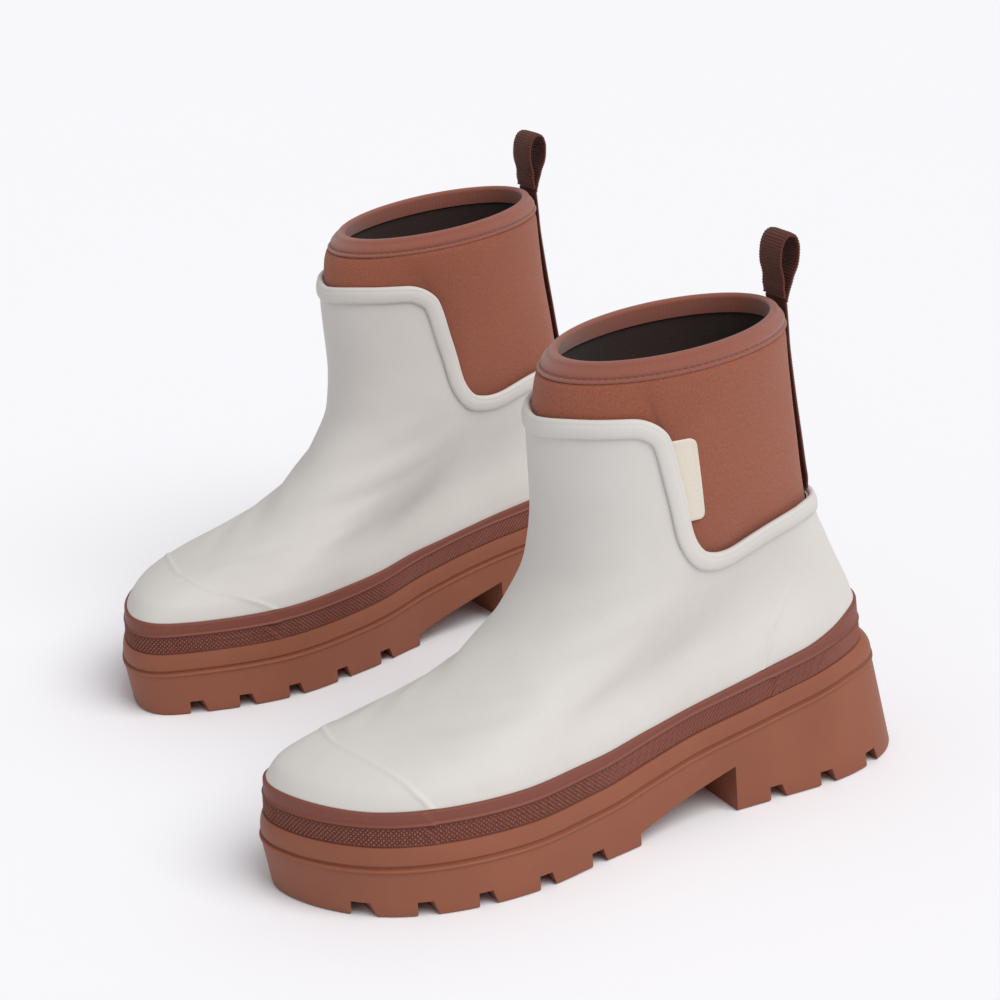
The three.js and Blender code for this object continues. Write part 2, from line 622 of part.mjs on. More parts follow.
// The pull loop: a teardrop of webbing, pinched at its foot, which rolls on the hinge line.
function pullLoop() {
  const foot = WEBBING_WALL + 0.1;
  const side = (half, low, high, start) => [
    start, [half * 0.5, mix(low, high, 0.34)], [half, mix(low, high, 0.62)],
    [half * 0.72, mix(low, high, 0.9)], [0, high],
  ];
  const there = (points) => points.map(([x, z]) => new THREE.Vector2(x, z));
  const back = (points) => points.slice(0, -1).reverse().map(([x, z]) => new THREE.Vector2(-x, z));
  const half = LOOP_DEPTH / 2;
  const top = LOOP_HEIGHT - foot;
  const outer = side(half, 0, top, [foot, 0]);
  const inner = side(half - WEBBING_WALL, WEBBING_WALL * 3, top - WEBBING_WALL, [0, WEBBING_WALL * 3]);
  const shape = new THREE.Shape();
  shape.absarc(0, 0, foot, Math.PI, 2 * Math.PI, false);
  shape.splineThru([...there(outer.slice(1)), ...back(outer)]);
  const hole = new THREE.Path();
  hole.moveTo(inner[0][0], inner[0][1]);
  hole.splineThru([...there(inner.slice(1)), ...back(inner)]);
  shape.holes.push(hole);
  const loop = new THREE.ExtrudeGeometry(shape, {
    depth: WEBBING_WIDTH, bevelEnabled: false, curveSegments: 2,
  });
  loop.rotateX(Math.PI / 2);
  loop.rotateY(-LOOP_LEAN);
  loop.translate(loopHinge.x, loopHinge.y + WEBBING_WIDTH / 2, loopHinge.z);
  return loop;
}

// The bar of stitching that closes the loop's foot on to the webbing.
function loopBartack() {
  const place = (i, j) => [(i * 2 - 1) * webbingHalf * 0.86, mix(hemLevel, TOP_LEVEL, 0.3 + 0.35 * j)];
  const face = tapeFace + WEBBING_WALL + GAP;
  return patch(4, 1, place, face, face + 0.7);
}

// The woven tab caught under the binding's back edge on the outer side.
function sideLabel() {
  const centre = edgeFrame(LABEL_TURN).point;
  const half = LABEL_LENGTH / 2;
  const edgeLine = range(25).map((i) => edgeFrame(mix(0.26, 0.36, i / 24)).point)
    .map((point) => [point.z, point.x]);
  const rings = range(3).map((j) => {
    const corner = j === 2 ? 2.5 : 0;
    const line = range(5).map((i) => {
      const up = mix(-half + corner, half - corner, i / 4);
      const front = along(edgeLine, centre.z + up) - LABEL_CLEAR;
      const rear = centre.x + up * LABEL_LEAN - LABEL_REACH;
      return new THREE.Vector3(mix(front, rear, j / 2), centre.y, centre.z + up);
    });
    const rest = bootieFace(TOP_LEVEL) + LINING_GAP;
    return [
      ...line.map((point) => projectToSide(point, rest + LABEL_WALL)),
      ...line.reverse().map((point) => projectToSide(point, rest)),
    ];
  });
  return loft(rings, { capShift: -1 });
}

// The point of the last surface on the outer side that has a given x and z.
function projectToSide(target, outward) {
  let round = 0.25;
  let level = 9;
  range(14).forEach(() => {
    const here = lastPoint(round, level);
    const alongRound = lastPoint(round + 0.01, level).sub(here).x / 0.01;
    const alongLevel = lastPoint(round, level + 0.1).sub(here).z / 0.1;
    round += (target.x - here.x) / alongRound;
    level = Math.min(TOP_LEVEL - 0.2, Math.max(1, level + (target.z - here.z) / alongLevel));
  });
  return surfacePoint(round, level, outward);
}

// ---------- assembly ----------
const finish = (color, roughness, metalness = 0) => new THREE.MeshStandardMaterial(
  { color, roughness, metalness, side: THREE.DoubleSide },
);
const rubberBone = finish(0xdcd8d1, 0.62);
const rubberTerracotta = finish(0x93583f, 0.6);
const rubberFoxing = finish(0x7c4435, 0.6);
const neoprene = finish(0x9c5f4c, 0.9);
const tape = finish(0xa0685a, 0.85);
const webbing = finish(0x5a2a20, 0.85);
const cream = finish(0xe2dacb, 0.7);
const dark = finish(0x3a2622, 0.9);
const foam = finish(0xcfc7b8, 0.95);
const board = finish(0xb59a78, 0.85);
const steel = finish(0x9a9da0, 0.35, 0.9);

const PIECES = [
  ['outsole', outsole, rubberTerracotta],
  ['heel_core', heelCore, foam],
  ['midsole_filler', midsoleFiller, foam],
  ['shank', shank, steel],
  ['insole_board', insoleBoard, board],
  ['footbed', footbed, foam],
  ['footbed_cover', footbedCover, dark],
  ['knurled_band', knurledBand, rubberFoxing],
  ['foxing_strip', foxingStrip, rubberFoxing],
  ['rubber_shell', rubberShell, rubberBone],
  ['toe_puff', toePuff, board],
  ['heel_stiffener', heelStiffener, board],
  ['toe_cap', toeCap, rubberBone],
  ['heel_counter', heelCounter, rubberBone],
  ['shell_binding', shellBinding, rubberBone],
  ['neoprene_bootie', neopreneBootie, neoprene],
  ['shaft_lining', shaftLining, dark],
  ['collar_binding', collarBinding, tape],
  ['back_webbing', backWebbing, webbing],
  ['loop_bartack', loopBartack, webbing],
  ['pull_loop', pullLoop, webbing],
  ['side_label', sideLabel, cream],
];

function boot(side) {
  const group = new THREE.Group();
  PIECES.forEach(([name, make, material]) => {
    const mesh = new THREE.Mesh(make(), material);
    mesh.name = `${side}_${name}`;
    group.add(mesh);
  });
  return group;
}

const left = boot('left');
const right = boot('right');
const middle = SOLE_LENGTH / 2;
right.children.forEach((mesh) => mesh.position.set(-middle, 0, 0));
right.scale.y = -1;
right.rotation.z = RIGHT_TOE_IN;
right.position.set(middle + RIGHT_FORWARD, -PAIR_SPACING, 0);

// The pair's frame has its origin on the floor, under the middle of the pair.
const pair = new THREE.Group();
pair.add(left, right);
pair.updateMatrixWorld(true);
const centre = new THREE.Box3().setFromObject(pair, true).getCenter(new THREE.Vector3());
pair.position.set(-centre.x, -centre.y, 0);

export default pair;
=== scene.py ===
# A pair of rubber deck boots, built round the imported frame, in metres.
import math

import bmesh
import bpy
import numpy as np
from mathutils import Matrix, Vector


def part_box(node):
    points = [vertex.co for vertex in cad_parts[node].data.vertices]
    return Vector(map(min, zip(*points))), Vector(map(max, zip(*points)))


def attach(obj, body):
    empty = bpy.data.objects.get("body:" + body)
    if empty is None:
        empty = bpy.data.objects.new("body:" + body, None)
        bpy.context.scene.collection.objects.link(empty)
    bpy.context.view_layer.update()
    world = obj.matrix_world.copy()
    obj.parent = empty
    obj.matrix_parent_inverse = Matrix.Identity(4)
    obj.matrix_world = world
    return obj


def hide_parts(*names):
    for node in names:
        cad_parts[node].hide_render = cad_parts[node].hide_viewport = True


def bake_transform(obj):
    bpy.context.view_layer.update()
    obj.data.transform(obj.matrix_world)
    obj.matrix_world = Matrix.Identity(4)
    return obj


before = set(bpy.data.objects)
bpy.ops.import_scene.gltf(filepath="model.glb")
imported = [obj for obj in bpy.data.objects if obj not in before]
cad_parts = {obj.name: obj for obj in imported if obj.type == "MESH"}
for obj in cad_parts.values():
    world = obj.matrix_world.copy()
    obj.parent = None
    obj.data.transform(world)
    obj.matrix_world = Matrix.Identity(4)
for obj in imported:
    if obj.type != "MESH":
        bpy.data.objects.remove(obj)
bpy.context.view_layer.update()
bpy.ops.object.select_all(action="DESELECT")

# ---------- Camera ----------
# A tripod at knee height beyond the left boot's outer side, looking down on the pair
# through a long lens, so that the left boot stands in front and shows its toe and side.
CAMERA_PLACE = (0.47415, 1.01195, 0.5139)
CAMERA_YAW, CAMERA_PITCH, CAMERA_ROLL = 0.4518, 0.3513, -0.0756
LENS = 93.376
SENSOR = 36.0

ahead = Vector((-math.sin(CAMERA_YAW) * math.cos(CAMERA_PITCH),
                -math.cos(CAMERA_YAW) * math.cos(CAMERA_PITCH), -math.sin(CAMERA_PITCH)))
level_right = ahead.cross(Vector((0, 0, 1))).normalized()
level_up = level_right.cross(ahead)
turn_right = level_right * math.cos(CAMERA_ROLL) + level_up * math.sin(CAMERA_ROLL)
turn_up = level_up * math.cos(CAMERA_ROLL) - level_right * math.sin(CAMERA_ROLL)
bpy.ops.object.camera_add()
camera = bpy.context.object
camera.name = "camera"
camera.data.lens, camera.data.sensor_width = LENS, SENSOR
camera.data.clip_end = 50
camera.matrix_world = (Matrix.Translation(CAMERA_PLACE)
                       @ Matrix((turn_right, turn_up, -ahead)).transposed().to_4x4())
bpy.context.scene.camera = camera

# ---------- Floor and light ----------
# A seamless white studio floor, lit from all round by a white tent, with one broad soft
# lamp high on the camera's right that gives the rubber its gentle shading.
FLOOR_COLOUR = (0.94, 0.935, 0.955)
FLOOR_SIZE, FLOOR_DROP = 30, 0.0002
TENT_COLOUR, TENT_STRENGTH = (0.975, 0.975, 1.0), 0.5
KEY_STRENGTH, KEY_SPREAD = 2.1, 0.8
KEY_TILT, KEY_TURN = 0.66, 3.5


class Wire:
    """One output of a material's node. Sums on it add Math nodes, and node() adds any other."""

    def __init__(self, tree, socket=None):
        self.tree, self.socket = tree, socket

    def node(self, kind, settings=(), sockets=(), out=0):
        made = self.tree.nodes.new("ShaderNode" + kind)
        for key, value in dict(settings).items():
            if key == "stops":
                ramp = made.color_ramp
                while len(ramp.elements) < len(value):
                    ramp.elements.new(1)
                for element, (place, colour) in zip(ramp.elements, value):
                    element.position, element.color = place, (*colour, 1)
            else:
                setattr(made, key, value)
        for key, value in dict(sockets).items():
            if isinstance(value, Wire):
                self.tree.links.new(value.socket, made.inputs[key])
            else:
                made.inputs[key].default_value = value
        return Wire(self.tree, made.outputs[out])

    def sum(self, operation, *values):
        return self.node("Math", {"operation": operation}, dict(enumerate(values)))

    def __add__(self, other):
        return self.sum("ADD", self, other)

    def __sub__(self, other):
        return self.sum("SUBTRACT", self, other)

    def __rsub__(self, other):
        return self.sum("SUBTRACT", other, self)

    def __mul__(self, other):
        return self.sum("MULTIPLY", self, other)

    __radd__, __rmul__ = __add__, __mul__

    def between(self, low, high):
        """This value, from 0 at low to 1 at high, eased and held past both."""
        return self.node("MapRange", {"interpolation_type": "SMOOTHSTEP"},
                         {"Value": self, "From Min": low, "From Max": high})

    def colours(self, first, second):
        """The colour that goes from the first to the second as this value goes from 0 to 1."""
        return self.node("Mix", {"data_type": "RGBA"}, {"Factor": self, 6: shade(first),
                                                        7: shade(second)}, 2)


def shade(colour):
    return colour if isinstance(colour, Wire) else (*colour, 1)


def finish(name, paint, **fixed):
    """A material: paint(wire) returns its base colour, roughness and height in millimetres."""
    material = bpy.data.materials.new(name)
    material.use_nodes = True
    tree = material.node_tree
    shader = tree.nodes["Principled BSDF"]
    for key, value in fixed.items():
        shader.inputs[key.replace("_", " ")].default_value = value
    start = Wire(tree)
    colour, roughness, height = paint(start)
    tree.links.new(colour.socket, shader.inputs["Base Color"])
    if isinstance(roughness, Wire):
        tree.links.new(roughness.socket, shader.inputs["Roughness"])
    else:
        shader.inputs["Roughness"].default_value = roughness
    if height is not None:
        bump = start.node("Bump", {}, {"Height": height, "Distance": 0.001, "Strength": 1.0})
        tree.links.new(bump.socket, shader.inputs["Normal"])
    return material


def noise(wire, place, scale, detail=3.0, rough=0.5):
    return wire.node("TexNoise", {}, {"Vector": place, "Scale": scale, "Detail": detail,
                                      "Roughness": rough})


def object_place(wire):
    return wire.node("TexCoord", {}, {}, "Object")


def paint_floor(wire):
    cloud = noise(wire, object_place(wire), 3.0)
    return cloud.colours(FLOOR_COLOUR, [part * 0.995 for part in FLOOR_COLOUR]), 0.9, None


bpy.ops.mesh.primitive_plane_add(size=FLOOR_SIZE, location=(0, 0, -FLOOR_DROP))
floor = bpy.context.object
floor.name = "floor"
floor.data.materials.append(finish("studio_floor", paint_floor, Specular_IOR_Level=0.1))

tent = bpy.data.worlds.new("tent")
tent.use_nodes = True
tent.node_tree.nodes["Background"].inputs["Color"].default_value = (*TENT_COLOUR, 1)
tent.node_tree.nodes["Background"].inputs["Strength"].default_value = TENT_STRENGTH
bpy.context.scene.world = tent
bpy.context.scene.view_settings.view_transform = "Standard"
bpy.ops.object.light_add(type="SUN", rotation=(KEY_TILT, 0, KEY_TURN))
key_lamp = bpy.context.object
key_lamp.name = "key_lamp"
key_lamp.data.energy, key_lamp.data.angle = KEY_STRENGTH, KEY_SPREAD

# ---------- Outsole ----------
# The moulded rubber bottom: lugs cut in from both sides, a heel block before a hollow arch,
# a thin lip right round, and above it a soft bead that slopes in to the upper. Its top is
# hollow for the heel block and the foam, and the upper is cemented into it.
SOLE_LENGTH, BALL_WIDTH = 295.0, 104.0
LIP_OUTLINE = [
    (.027, .02), (.055, .215), (.136, .341), (.271, .38), (.424, .39), (.559, .452),
    (.695, .519), (.82, .476), (.908, .351), (.975, .12), (1, -.115), (.981, -.27),
    (.915, -.375), (.77, -.481), (.62, -.428), (.485, -.33), (.356, -.327), (.237, -.356),
    (.125, -.332), (.055, -.188),
]
HEEL_LIFT = [(0, 1), (.11, .98), (.2, .83), (.28, .68), (.39, .44), (.47, .23), (.57, .04),
             (.69, 0), (1, .04)]
UPPER_INSET = [(0, 11), (.05, 8), (.14, 5), (.3, 4.6), (.5, 5), (.75, 4.6), (.9, 4.7),
               (1, 5.4)]
TREAD_INSET = [(0, -7.5), (.15, -4), (.35, 0), (.7, .5), (.88, 1.5), (1, 3)]
FOREFOOT_LIP, HEEL_LIP, BEAD_HEIGHT = 22.0, 45.0, 8.7
TREAD_ROUND, TREAD_MARGIN, SOLE_WALL, POCKET_FLOOR = 1.2, 14.0, 9.0, 10.5
# The lip in section, as inset and rise: groove beneath, rounded edge, and the foot of the bead.
LIP_SECTION = [(.7, -2.3), (.25, -2.05), (0, -1.75), (0, -1.15), (.25, -.8), (.8, -.6),
               (1.45, -.4), (1.55, 0), (1.2, .4)]
WALL_UNDER_LIP = 0.55
BEAD_FOOT, BEAD_TUCK, BEAD_LEAN, BEAD_SWELL = .7, 3.0, 2.2, .8
HEEL_BREAST, ARCH_FRONT, ARCH_RISE, ARCH_HEIGHT, ARCH_FLOOR = 99.0, 149.0, 6.0, 21.0, 4.0
LUG_CUTS = (172, 199, 226, 250, 272, 27.5, 54, 79.5)
LUG_CUT_WIDTH, LUG_CUT_HEIGHT, LUG_CUT_REACH, LUG_CUT_SLOPE = 6.0, 6.5, 20.0, 2.5
LUG_LINK = 3.0
PAIR_SPACING, RIGHT_FORWARD, RIGHT_TOE_IN = 239.0, -14.0, 0.06
POCKET_MARGIN = 8.0
CAD_SOLE_COLUMNS, SOLE_COLUMNS, POCKET_COLUMNS = 56, 480, 160
RUBBER_LOW, RUBBER_HIGH = (.247, .076, .038), (.270, .086, .044)


def mix(first, second, share):
    return first + (second - first) * share


def eased(low, high, x):
    t = np.clip((x - low) / (high - low), 0, 1)
    return t * t * (3 - 2 * t)


def along(stations, x):
    """A smooth curve through (position, value) stations that never overshoots them."""
    px, py = np.array(stations, float).T
    x = np.clip(np.asarray(x, float), px[0], px[-1])
    slope = np.diff(py) / np.diff(px)
    tangent = np.empty_like(px)
    tangent[0], tangent[-1] = slope[0], slope[-1]
    before, after = slope[:-1], slope[1:]
    same = before * after > 0
    tangent[1:-1] = np.where(same, 2 * before * after / np.where(same, before + after, 1), 0)
    i = np.clip(np.searchsorted(px, x, side="right") - 1, 0, len(px) - 2)
    step = px[i + 1] - px[i]
    t = (x - px[i]) / step
    return (mix(py[i], py[i + 1], t * t * (3 - 2 * t)) + step * tangent[i] * t * (1 - t) ** 2
            + step * tangent[i + 1] * t * t * (t - 1))


def lip_curve(turn):
    """The outline of the lip, seen from above, as one closed smooth curve."""
    points = np.array(LIP_OUTLINE) * (SOLE_LENGTH, BALL_WIDTH)
    size = len(points)
    place = (np.asarray(turn, float) % 1) * size
    i = np.floor(place).astype(int) % size
    t = (place - np.floor(place))[..., None]
    p0, p1, p2, p3 = (points[(i + k) % size] for k in (-1, 0, 1, 2))
    d0, d1, d2 = (np.linalg.norm(b - a, axis=-1)[..., None] ** 0.5
                  for a, b in ((p0, p1), (p1, p2), (p2, p3)))
    start = ((p1 - p0) / d0 - (p2 - p0) / (d0 + d1) + (p2 - p1) / d1) * d1
    end = ((p2 - p1) / d1 - (p3 - p1) / (d1 + d2) + (p3 - p2) / d2) * d1
    return (p1 + start * t + (-3 * p1 + 3 * p2 - 2 * start - end) * t ** 2
            + (2 * p1 - 2 * p2 + start + end) * t ** 3)


def lip_point(turn, inset):
    point = lip_curve(turn)
    way = lip_curve(np.asarray(turn) + 1e-4) - lip_curve(np.asarray(turn) - 1e-4)
    way /= np.linalg.norm(way, axis=-1)[..., None]
    inward = np.stack([way[..., 1], -way[..., 0]], -1)
    return point + inward * np.asarray(inset)[..., None]


def lip_height(x):
    return mix(FOREFOOT_LIP, HEEL_LIP, along(HEEL_LIFT, x / SOLE_LENGTH))


def sole_top(x):
    return lip_height(x) + BEAD_HEIGHT


def turns(count):
    return np.arange(count) / count


def lip_ring(inset, height, columns=SOLE_COLUMNS):
    """A ring that follows the lip: inset and height are functions of x."""
    x = lip_curve(turns(columns))[:, 0]
    return np.column_stack([lip_point(turns(columns), inset(x) + 0 * x), height(x) + 0 * x])


def tread_inset(x):
    return along(TREAD_INSET, x / SOLE_LENGTH)


def upper_inset(x):
    return along(UPPER_INSET, x / SOLE_LENGTH)


def stand(points, side):
    """Points of a left boot lying at the last's own origin, moved to where that boot stands."""
    points = np.array(points, float)
    if side == "right":
        half = SOLE_LENGTH / 2
        x, y = points[:, 0] - half, -points[:, 1]
        cos, sin = math.cos(RIGHT_TOE_IN), math.sin(RIGHT_TOE_IN)
        points[:, 0] = cos * x - sin * y + half + RIGHT_FORWARD
        points[:, 1] = sin * x + cos * y - PAIR_SPACING
    return (points + PAIR_PLACE) / 1000


# The frame says where the pair stands: the lowest x and y of the left sole give its place.
PAIR_PLACE = np.zeros(3)
widest = np.concatenate([lip_ring(inset, lambda x: 0, CAD_SOLE_COLUMNS)
                         for inset in (tread_inset, lambda x: 0)])
PAIR_PLACE[:2] = (np.array(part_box("left_outsole")[0]) * 1000 - widest.min(axis=0))[:2]


def skin(rings, closed=False, caps=False):
    """Vertices, faces and a UV map in millimetres for rings of points laid side by side.

    Each ring is closed; closed joins the last ring to the first, and caps fills the ends."""
    rings = np.asarray(rings, float)
    count, size = rings.shape[:2]
    wide = np.concatenate([rings, rings[:, :1]], 1)
    tall = np.concatenate([wide, wide[:1]], 0) if closed else wide
    u = np.concatenate([[0], np.cumsum(np.linalg.norm(np.diff(wide, axis=1), axis=-1)
                                       .mean(axis=0))])
    v = np.concatenate([np.zeros((1, tall.shape[1])),
                        np.cumsum(np.linalg.norm(np.diff(tall, axis=0), axis=-1), axis=0)])
    faces, uvs = [], []
    for r in range(tall.shape[0] - 1):
        for c in range(wide.shape[1] - 1):
            corners = ((r, c), (r, c + 1), (r + 1, c + 1), (r + 1, c))
            faces.append([(a % count) * size + b % size for a, b in corners])
            uvs += [(u[b], v[a, b]) for a, b in corners]
    if caps:
        for ring in (range(size - 1, -1, -1), range((count - 1) * size, count * size)):
            faces.append(list(ring))
            uvs += [(0, 0)] * size
    return rings.reshape(-1, 3), faces, uvs


def raw_mesh(name, vertices, faces, uvs=None):
    mesh = bpy.data.meshes.new(name)
    mesh.from_pydata([tuple(v) for v in vertices], [], faces)
    if uvs is not None:
        layer = mesh.uv_layers.new(name="UVMap")
        layer.data.foreach_set("uv", np.array(uvs, float).ravel())
    obj = bpy.data.objects.new(name, mesh)
    bpy.context.scene.collection.objects.link(obj)
    return obj


def face_out(obj):
    work = bmesh.new()
    work.from_mesh(obj.data)
    bmesh.ops.recalc_face_normals(work, faces=work.faces)
    work.to_mesh(obj.data)
    work.free()


def pick(obj):
    """Leaves this object, and no other, selected and active."""
    bpy.ops.object.select_all(action="DESELECT")
    bpy.context.view_layer.objects.active = obj
    obj.select_set(True)


def modify(obj, kind, **settings):
    """Adds a modifier and applies it."""
    pick(obj)
    modifier = obj.modifiers.new(kind, kind)
    for key, value in settings.items():
        setattr(modifier, key, value)
    bpy.ops.object.modifier_apply(modifier=modifier.name)
    obj.select_set(False)


def smooth(obj, degrees):
    """Shades smoothly across every edge that turns less than this."""
    pick(obj)
    bpy.ops.object.shade_smooth_by_angle(angle=math.radians(degrees))
    obj.select_set(False)


def pair(name, shape, material, node, degrees, body="boot"):
    """Makes both boots' copies of a piece that was shaped at the last's own origin."""
    for side in ("left", "right"):
        copy = shape.copy()
        copy.data = shape.data.copy()
        copy.name = copy.data.name = f"{side}_{name}"
        bpy.context.scene.collection.objects.link(copy)
        places = np.empty(len(copy.data.vertices) * 3)
        copy.data.vertices.foreach_get("co", places)
        copy.data.vertices.foreach_set("co", stand(places.reshape(-1, 3), side).ravel())
        if side == "right":
            copy.data.flip_normals()
        copy.data.update()
        copy.data.materials.clear()
        copy.data.materials.append(material)
        smooth(copy, degrees)
        if body == "loop":
            bend_loop(copy, side)
        else:
            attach(copy, f"{side}_{body}")
        if node:
            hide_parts(f"{side}_{node}")
    bpy.data.objects.remove(shape)


def block(corners, y_from, y_to):
    """A cutter through the sole: a cube whose eight corners go to a side profile of four."""
    bpy.ops.mesh.primitive_cube_add(size=2)
    cutter = bpy.context.object
    for vertex in cutter.data.vertices:
        right, back, up = (part > 0 for part in vertex.co)
        x, z = corners[(2 if right else 3) if up else (1 if right else 0)]
        vertex.co = (x, y_to if back else y_from, z)
    cutter.select_set(False)
    return cutter


def joined(objects):
    bpy.ops.object.select_all(action="DESELECT")
    for obj in objects:
        obj.select_set(True)
    bpy.context.view_layer.objects.active = objects[0]
    bpy.ops.object.join()
    objects[0].select_set(False)
    return objects[0]


def cut(obj, cutter):
    modify(obj, "BOOLEAN", operation="DIFFERENCE", solver="EXACT", object=cutter)
    bpy.data.objects.remove(cutter)


def arch_block(margin, lift):
    return block([(HEEL_BREAST - margin, -1), (ARCH_FRONT + margin, -1),
                  (ARCH_FRONT + margin, ARCH_RISE + lift),
                  (HEEL_BREAST - margin, ARCH_HEIGHT + lift)], -BALL_WIDTH, BALL_WIDTH)


def sole_rings():
    """The sole's side from the tread up: rounded edge, wall, lip, groove and bead."""
    yield lip_ring(lambda x: tread_inset(x) + TREAD_MARGIN, lambda x: 0)
    for turned in np.linspace(0, math.pi / 2, 4):
        yield lip_ring(lambda x: tread_inset(x) + TREAD_ROUND * (1 - math.sin(turned)),
                       lambda x: TREAD_ROUND * (1 - math.cos(turned)))
    for share in (.2, .45, .7, .9):
        yield lip_ring(lambda x: tread_inset(x) * (1 - share) + WALL_UNDER_LIP * share,
                       lambda x: mix(TREAD_ROUND, lip_height(x) + LIP_SECTION[0][1], share))
    for inset, rise in LIP_SECTION:
        yield lip_ring(lambda x: inset, lambda x: lip_height(x) + rise)
    for share in np.linspace(.08, 1, 12):
        yield lip_ring(lambda x: mix(BEAD_FOOT, upper_inset(x) - BEAD_TUCK, share ** BEAD_LEAN),
                       lambda x: lip_height(x) + BEAD_HEIGHT * share ** BEAD_SWELL)
    yield lip_ring(lambda x: SOLE_WALL + POCKET_MARGIN, sole_top)


outsole = raw_mesh("outsole_blank", *skin(list(sole_rings()), caps=True))
face_out(outsole)
pocket = raw_mesh("pocket", *skin([lip_ring(lambda x: SOLE_WALL, height, POCKET_COLUMNS)
                                   for height in (lambda x: POCKET_FLOOR,
                                                  lambda x: sole_top(x) + 1)], caps=True))
face_out(pocket)
cut(pocket, arch_block(SOLE_WALL, ARCH_FLOOR))
cut(outsole, pocket)
cut(outsole, arch_block(0, 0))
notches, links = [], []
toe_tip = LIP_OUTLINE.index(max(LIP_OUTLINE))
outer_line, inner_line = LIP_OUTLINE[:toe_tip + 1], [*LIP_OUTLINE[toe_tip:], LIP_OUTLINE[0]]
for x in LUG_CUTS:
    outer, inner = (float(along(line, x / SOLE_LENGTH)) * BALL_WIDTH
                    for line in (outer_line, inner_line[::-1]))
    half = LUG_CUT_WIDTH / 2
    profile = [(x - half - LUG_CUT_SLOPE, -1), (x + half, -1), (x + half, LUG_CUT_HEIGHT),
               (x - half, LUG_CUT_HEIGHT)]
    notches += [block(profile, outer - LUG_CUT_REACH, outer + SOLE_WALL),
                block(profile, inner - SOLE_WALL, inner + LUG_CUT_REACH)]
    links.append(block([(x - LUG_LINK / 2, -1), (x + LUG_LINK / 2, -1), (x + LUG_LINK / 2, LUG_LINK),
                        (x - LUG_LINK / 2, LUG_LINK)],
                       inner + LUG_CUT_REACH - 1, outer - LUG_CUT_REACH + 1))
cut(outsole, joined(notches))
cut(outsole, joined(links))


def paint_rubber(low, high, grain=0.05, dust=0.06, wave=0.03):
    """Moulded rubber: cloudy colour, a fine matt grain and faint scuffs."""
    def paint(wire):
        place = object_place(wire)
        cloud = noise(wire, place, 28, 4).between(.3, .7)
        grit = noise(wire, place, 1500, 2)
        speck = noise(wire, place, 420, 2).between(.62, .78)
        colour = cloud.colours(low, high)
        colour = (speck * dust).colours(colour, [min(1, part * 1.5 + .03) for part in high])
        height = grit * grain + noise(wire, place, 160) * wave + noise(wire, place, 60) * wave
        return colour, .5 + cloud * .08 + grit * .08, height
    return paint


outsole_rubber = finish("outsole_rubber", paint_rubber(RUBBER_LOW, RUBBER_HIGH),
                        Specular_IOR_Level=.4)
pair("moulded_outsole", outsole, outsole_rubber, "outsole", 28)

# ---------- Under the foot ----------
# What the upper is lasted to, hidden in the sole: a light heel block, foam that fills the
# hollow, a steel shank, the fibre insole board, stiffeners at toe and heel, and a foam
# footbed with a dark brushed cover. They keep the frame's own shapes.
UNDERFOOT = {
    "heel_core": "foam", "midsole_filler": "foam", "footbed": "foam", "insole_board": "fibre",
    "toe_puff": "fibre", "heel_stiffener": "fibre", "shank": "steel", "footbed_cover": "brushed",
}


def paint_foam(wire):
    place = object_place(wire)
    cells = wire.node("TexVoronoi", {}, {"Vector": place, "Scale": 900})
    tone = noise(wire, place, 60)
    return tone.colours((.62, .56, .47), (.72, .67, .58)), .9, cells * .15


def paint_fibre(wire):
    place = object_place(wire)
    streak = noise(wire, wire.node("Mapping", {}, {"Vector": place, "Scale": (120, 900, 900)}), 1)
    return streak.colours((.36, .25, .15), (.55, .42, .28)), .85, streak * .1


def paint_steel(wire):
    brushed = noise(wire, wire.node("Mapping", {}, {"Vector": object_place(wire),
                                                    "Scale": (30, 2500, 600)}), 1)
    return brushed.colours((.42, .43, .44), (.56, .57, .58)), .28 + brushed * .15, brushed * .01


def paint_brushed(wire):
    place = object_place(wire)
    nap = noise(wire, place, 1400, 3, .7)
    return nap.colours((.022, .012, .010), (.06, .034, .028)), .95, nap * .2


underfoot = {
    "foam": finish("filler_foam", paint_foam), "fibre": finish("fibreboard", paint_fibre),
    "steel": finish("shank_steel", paint_steel, Metallic=1.0),
    "brushed": finish("brushed_cover", paint_brushed, Sheen_Weight=.3),
}
for side in ("left", "right"):
    for node, stuff in UNDERFOOT.items():
        for material_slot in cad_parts[f"{side}_{node}"].material_slots:
            material_slot.material = underfoot[stuff]

# ---------- Foxing ----------
# Two strips of rubber wrapped round the joint of upper and sole: below, a knurled strip of
# small diamonds at the toe that turn to slanted ribs at the side, and above, a smooth one
# with a fine raised line along its foot. Both step over the ends of toe cap and counter.
KNURL_HEIGHT, FOXING_HEIGHT = 8.4, 6.0
KNURL_PROUD, FOXING_PROUD = 2.2, 1.9
FOXING_SHARE = [(0, 1.9), (.09, 1.6), (.14, 1.12), (.2, .8), (.29, .72), (.4, .6), (.5, .8),
                (.64, 1), (.9, 1.02), (1, 1.2)]
KNURL_PITCH, KNURL_DEPTH, KNURL_LEAN = 2.1, .85, 1.0
# The pale colour of the painted highlight on the knurl's tips.
KNURL_TIP_HIGHLIGHT = (.36, .15, .11)
KNURL_COLUMNS, KNURL_ROWS, FOXING_COLUMNS = 1720, 20, 480
KNURL_SHARP, DIAMOND_SWELL, KNURL_BORDER = .7, 1.35, .06
RIBS_FROM, RIBS_TO = .5, .6
FOXING_ROWS = [0, .025, .05, .075, .1, .13, .16, .2, .25, .32, .42, .56, .7, .82, .9, .94,
               .97, .99, 1]
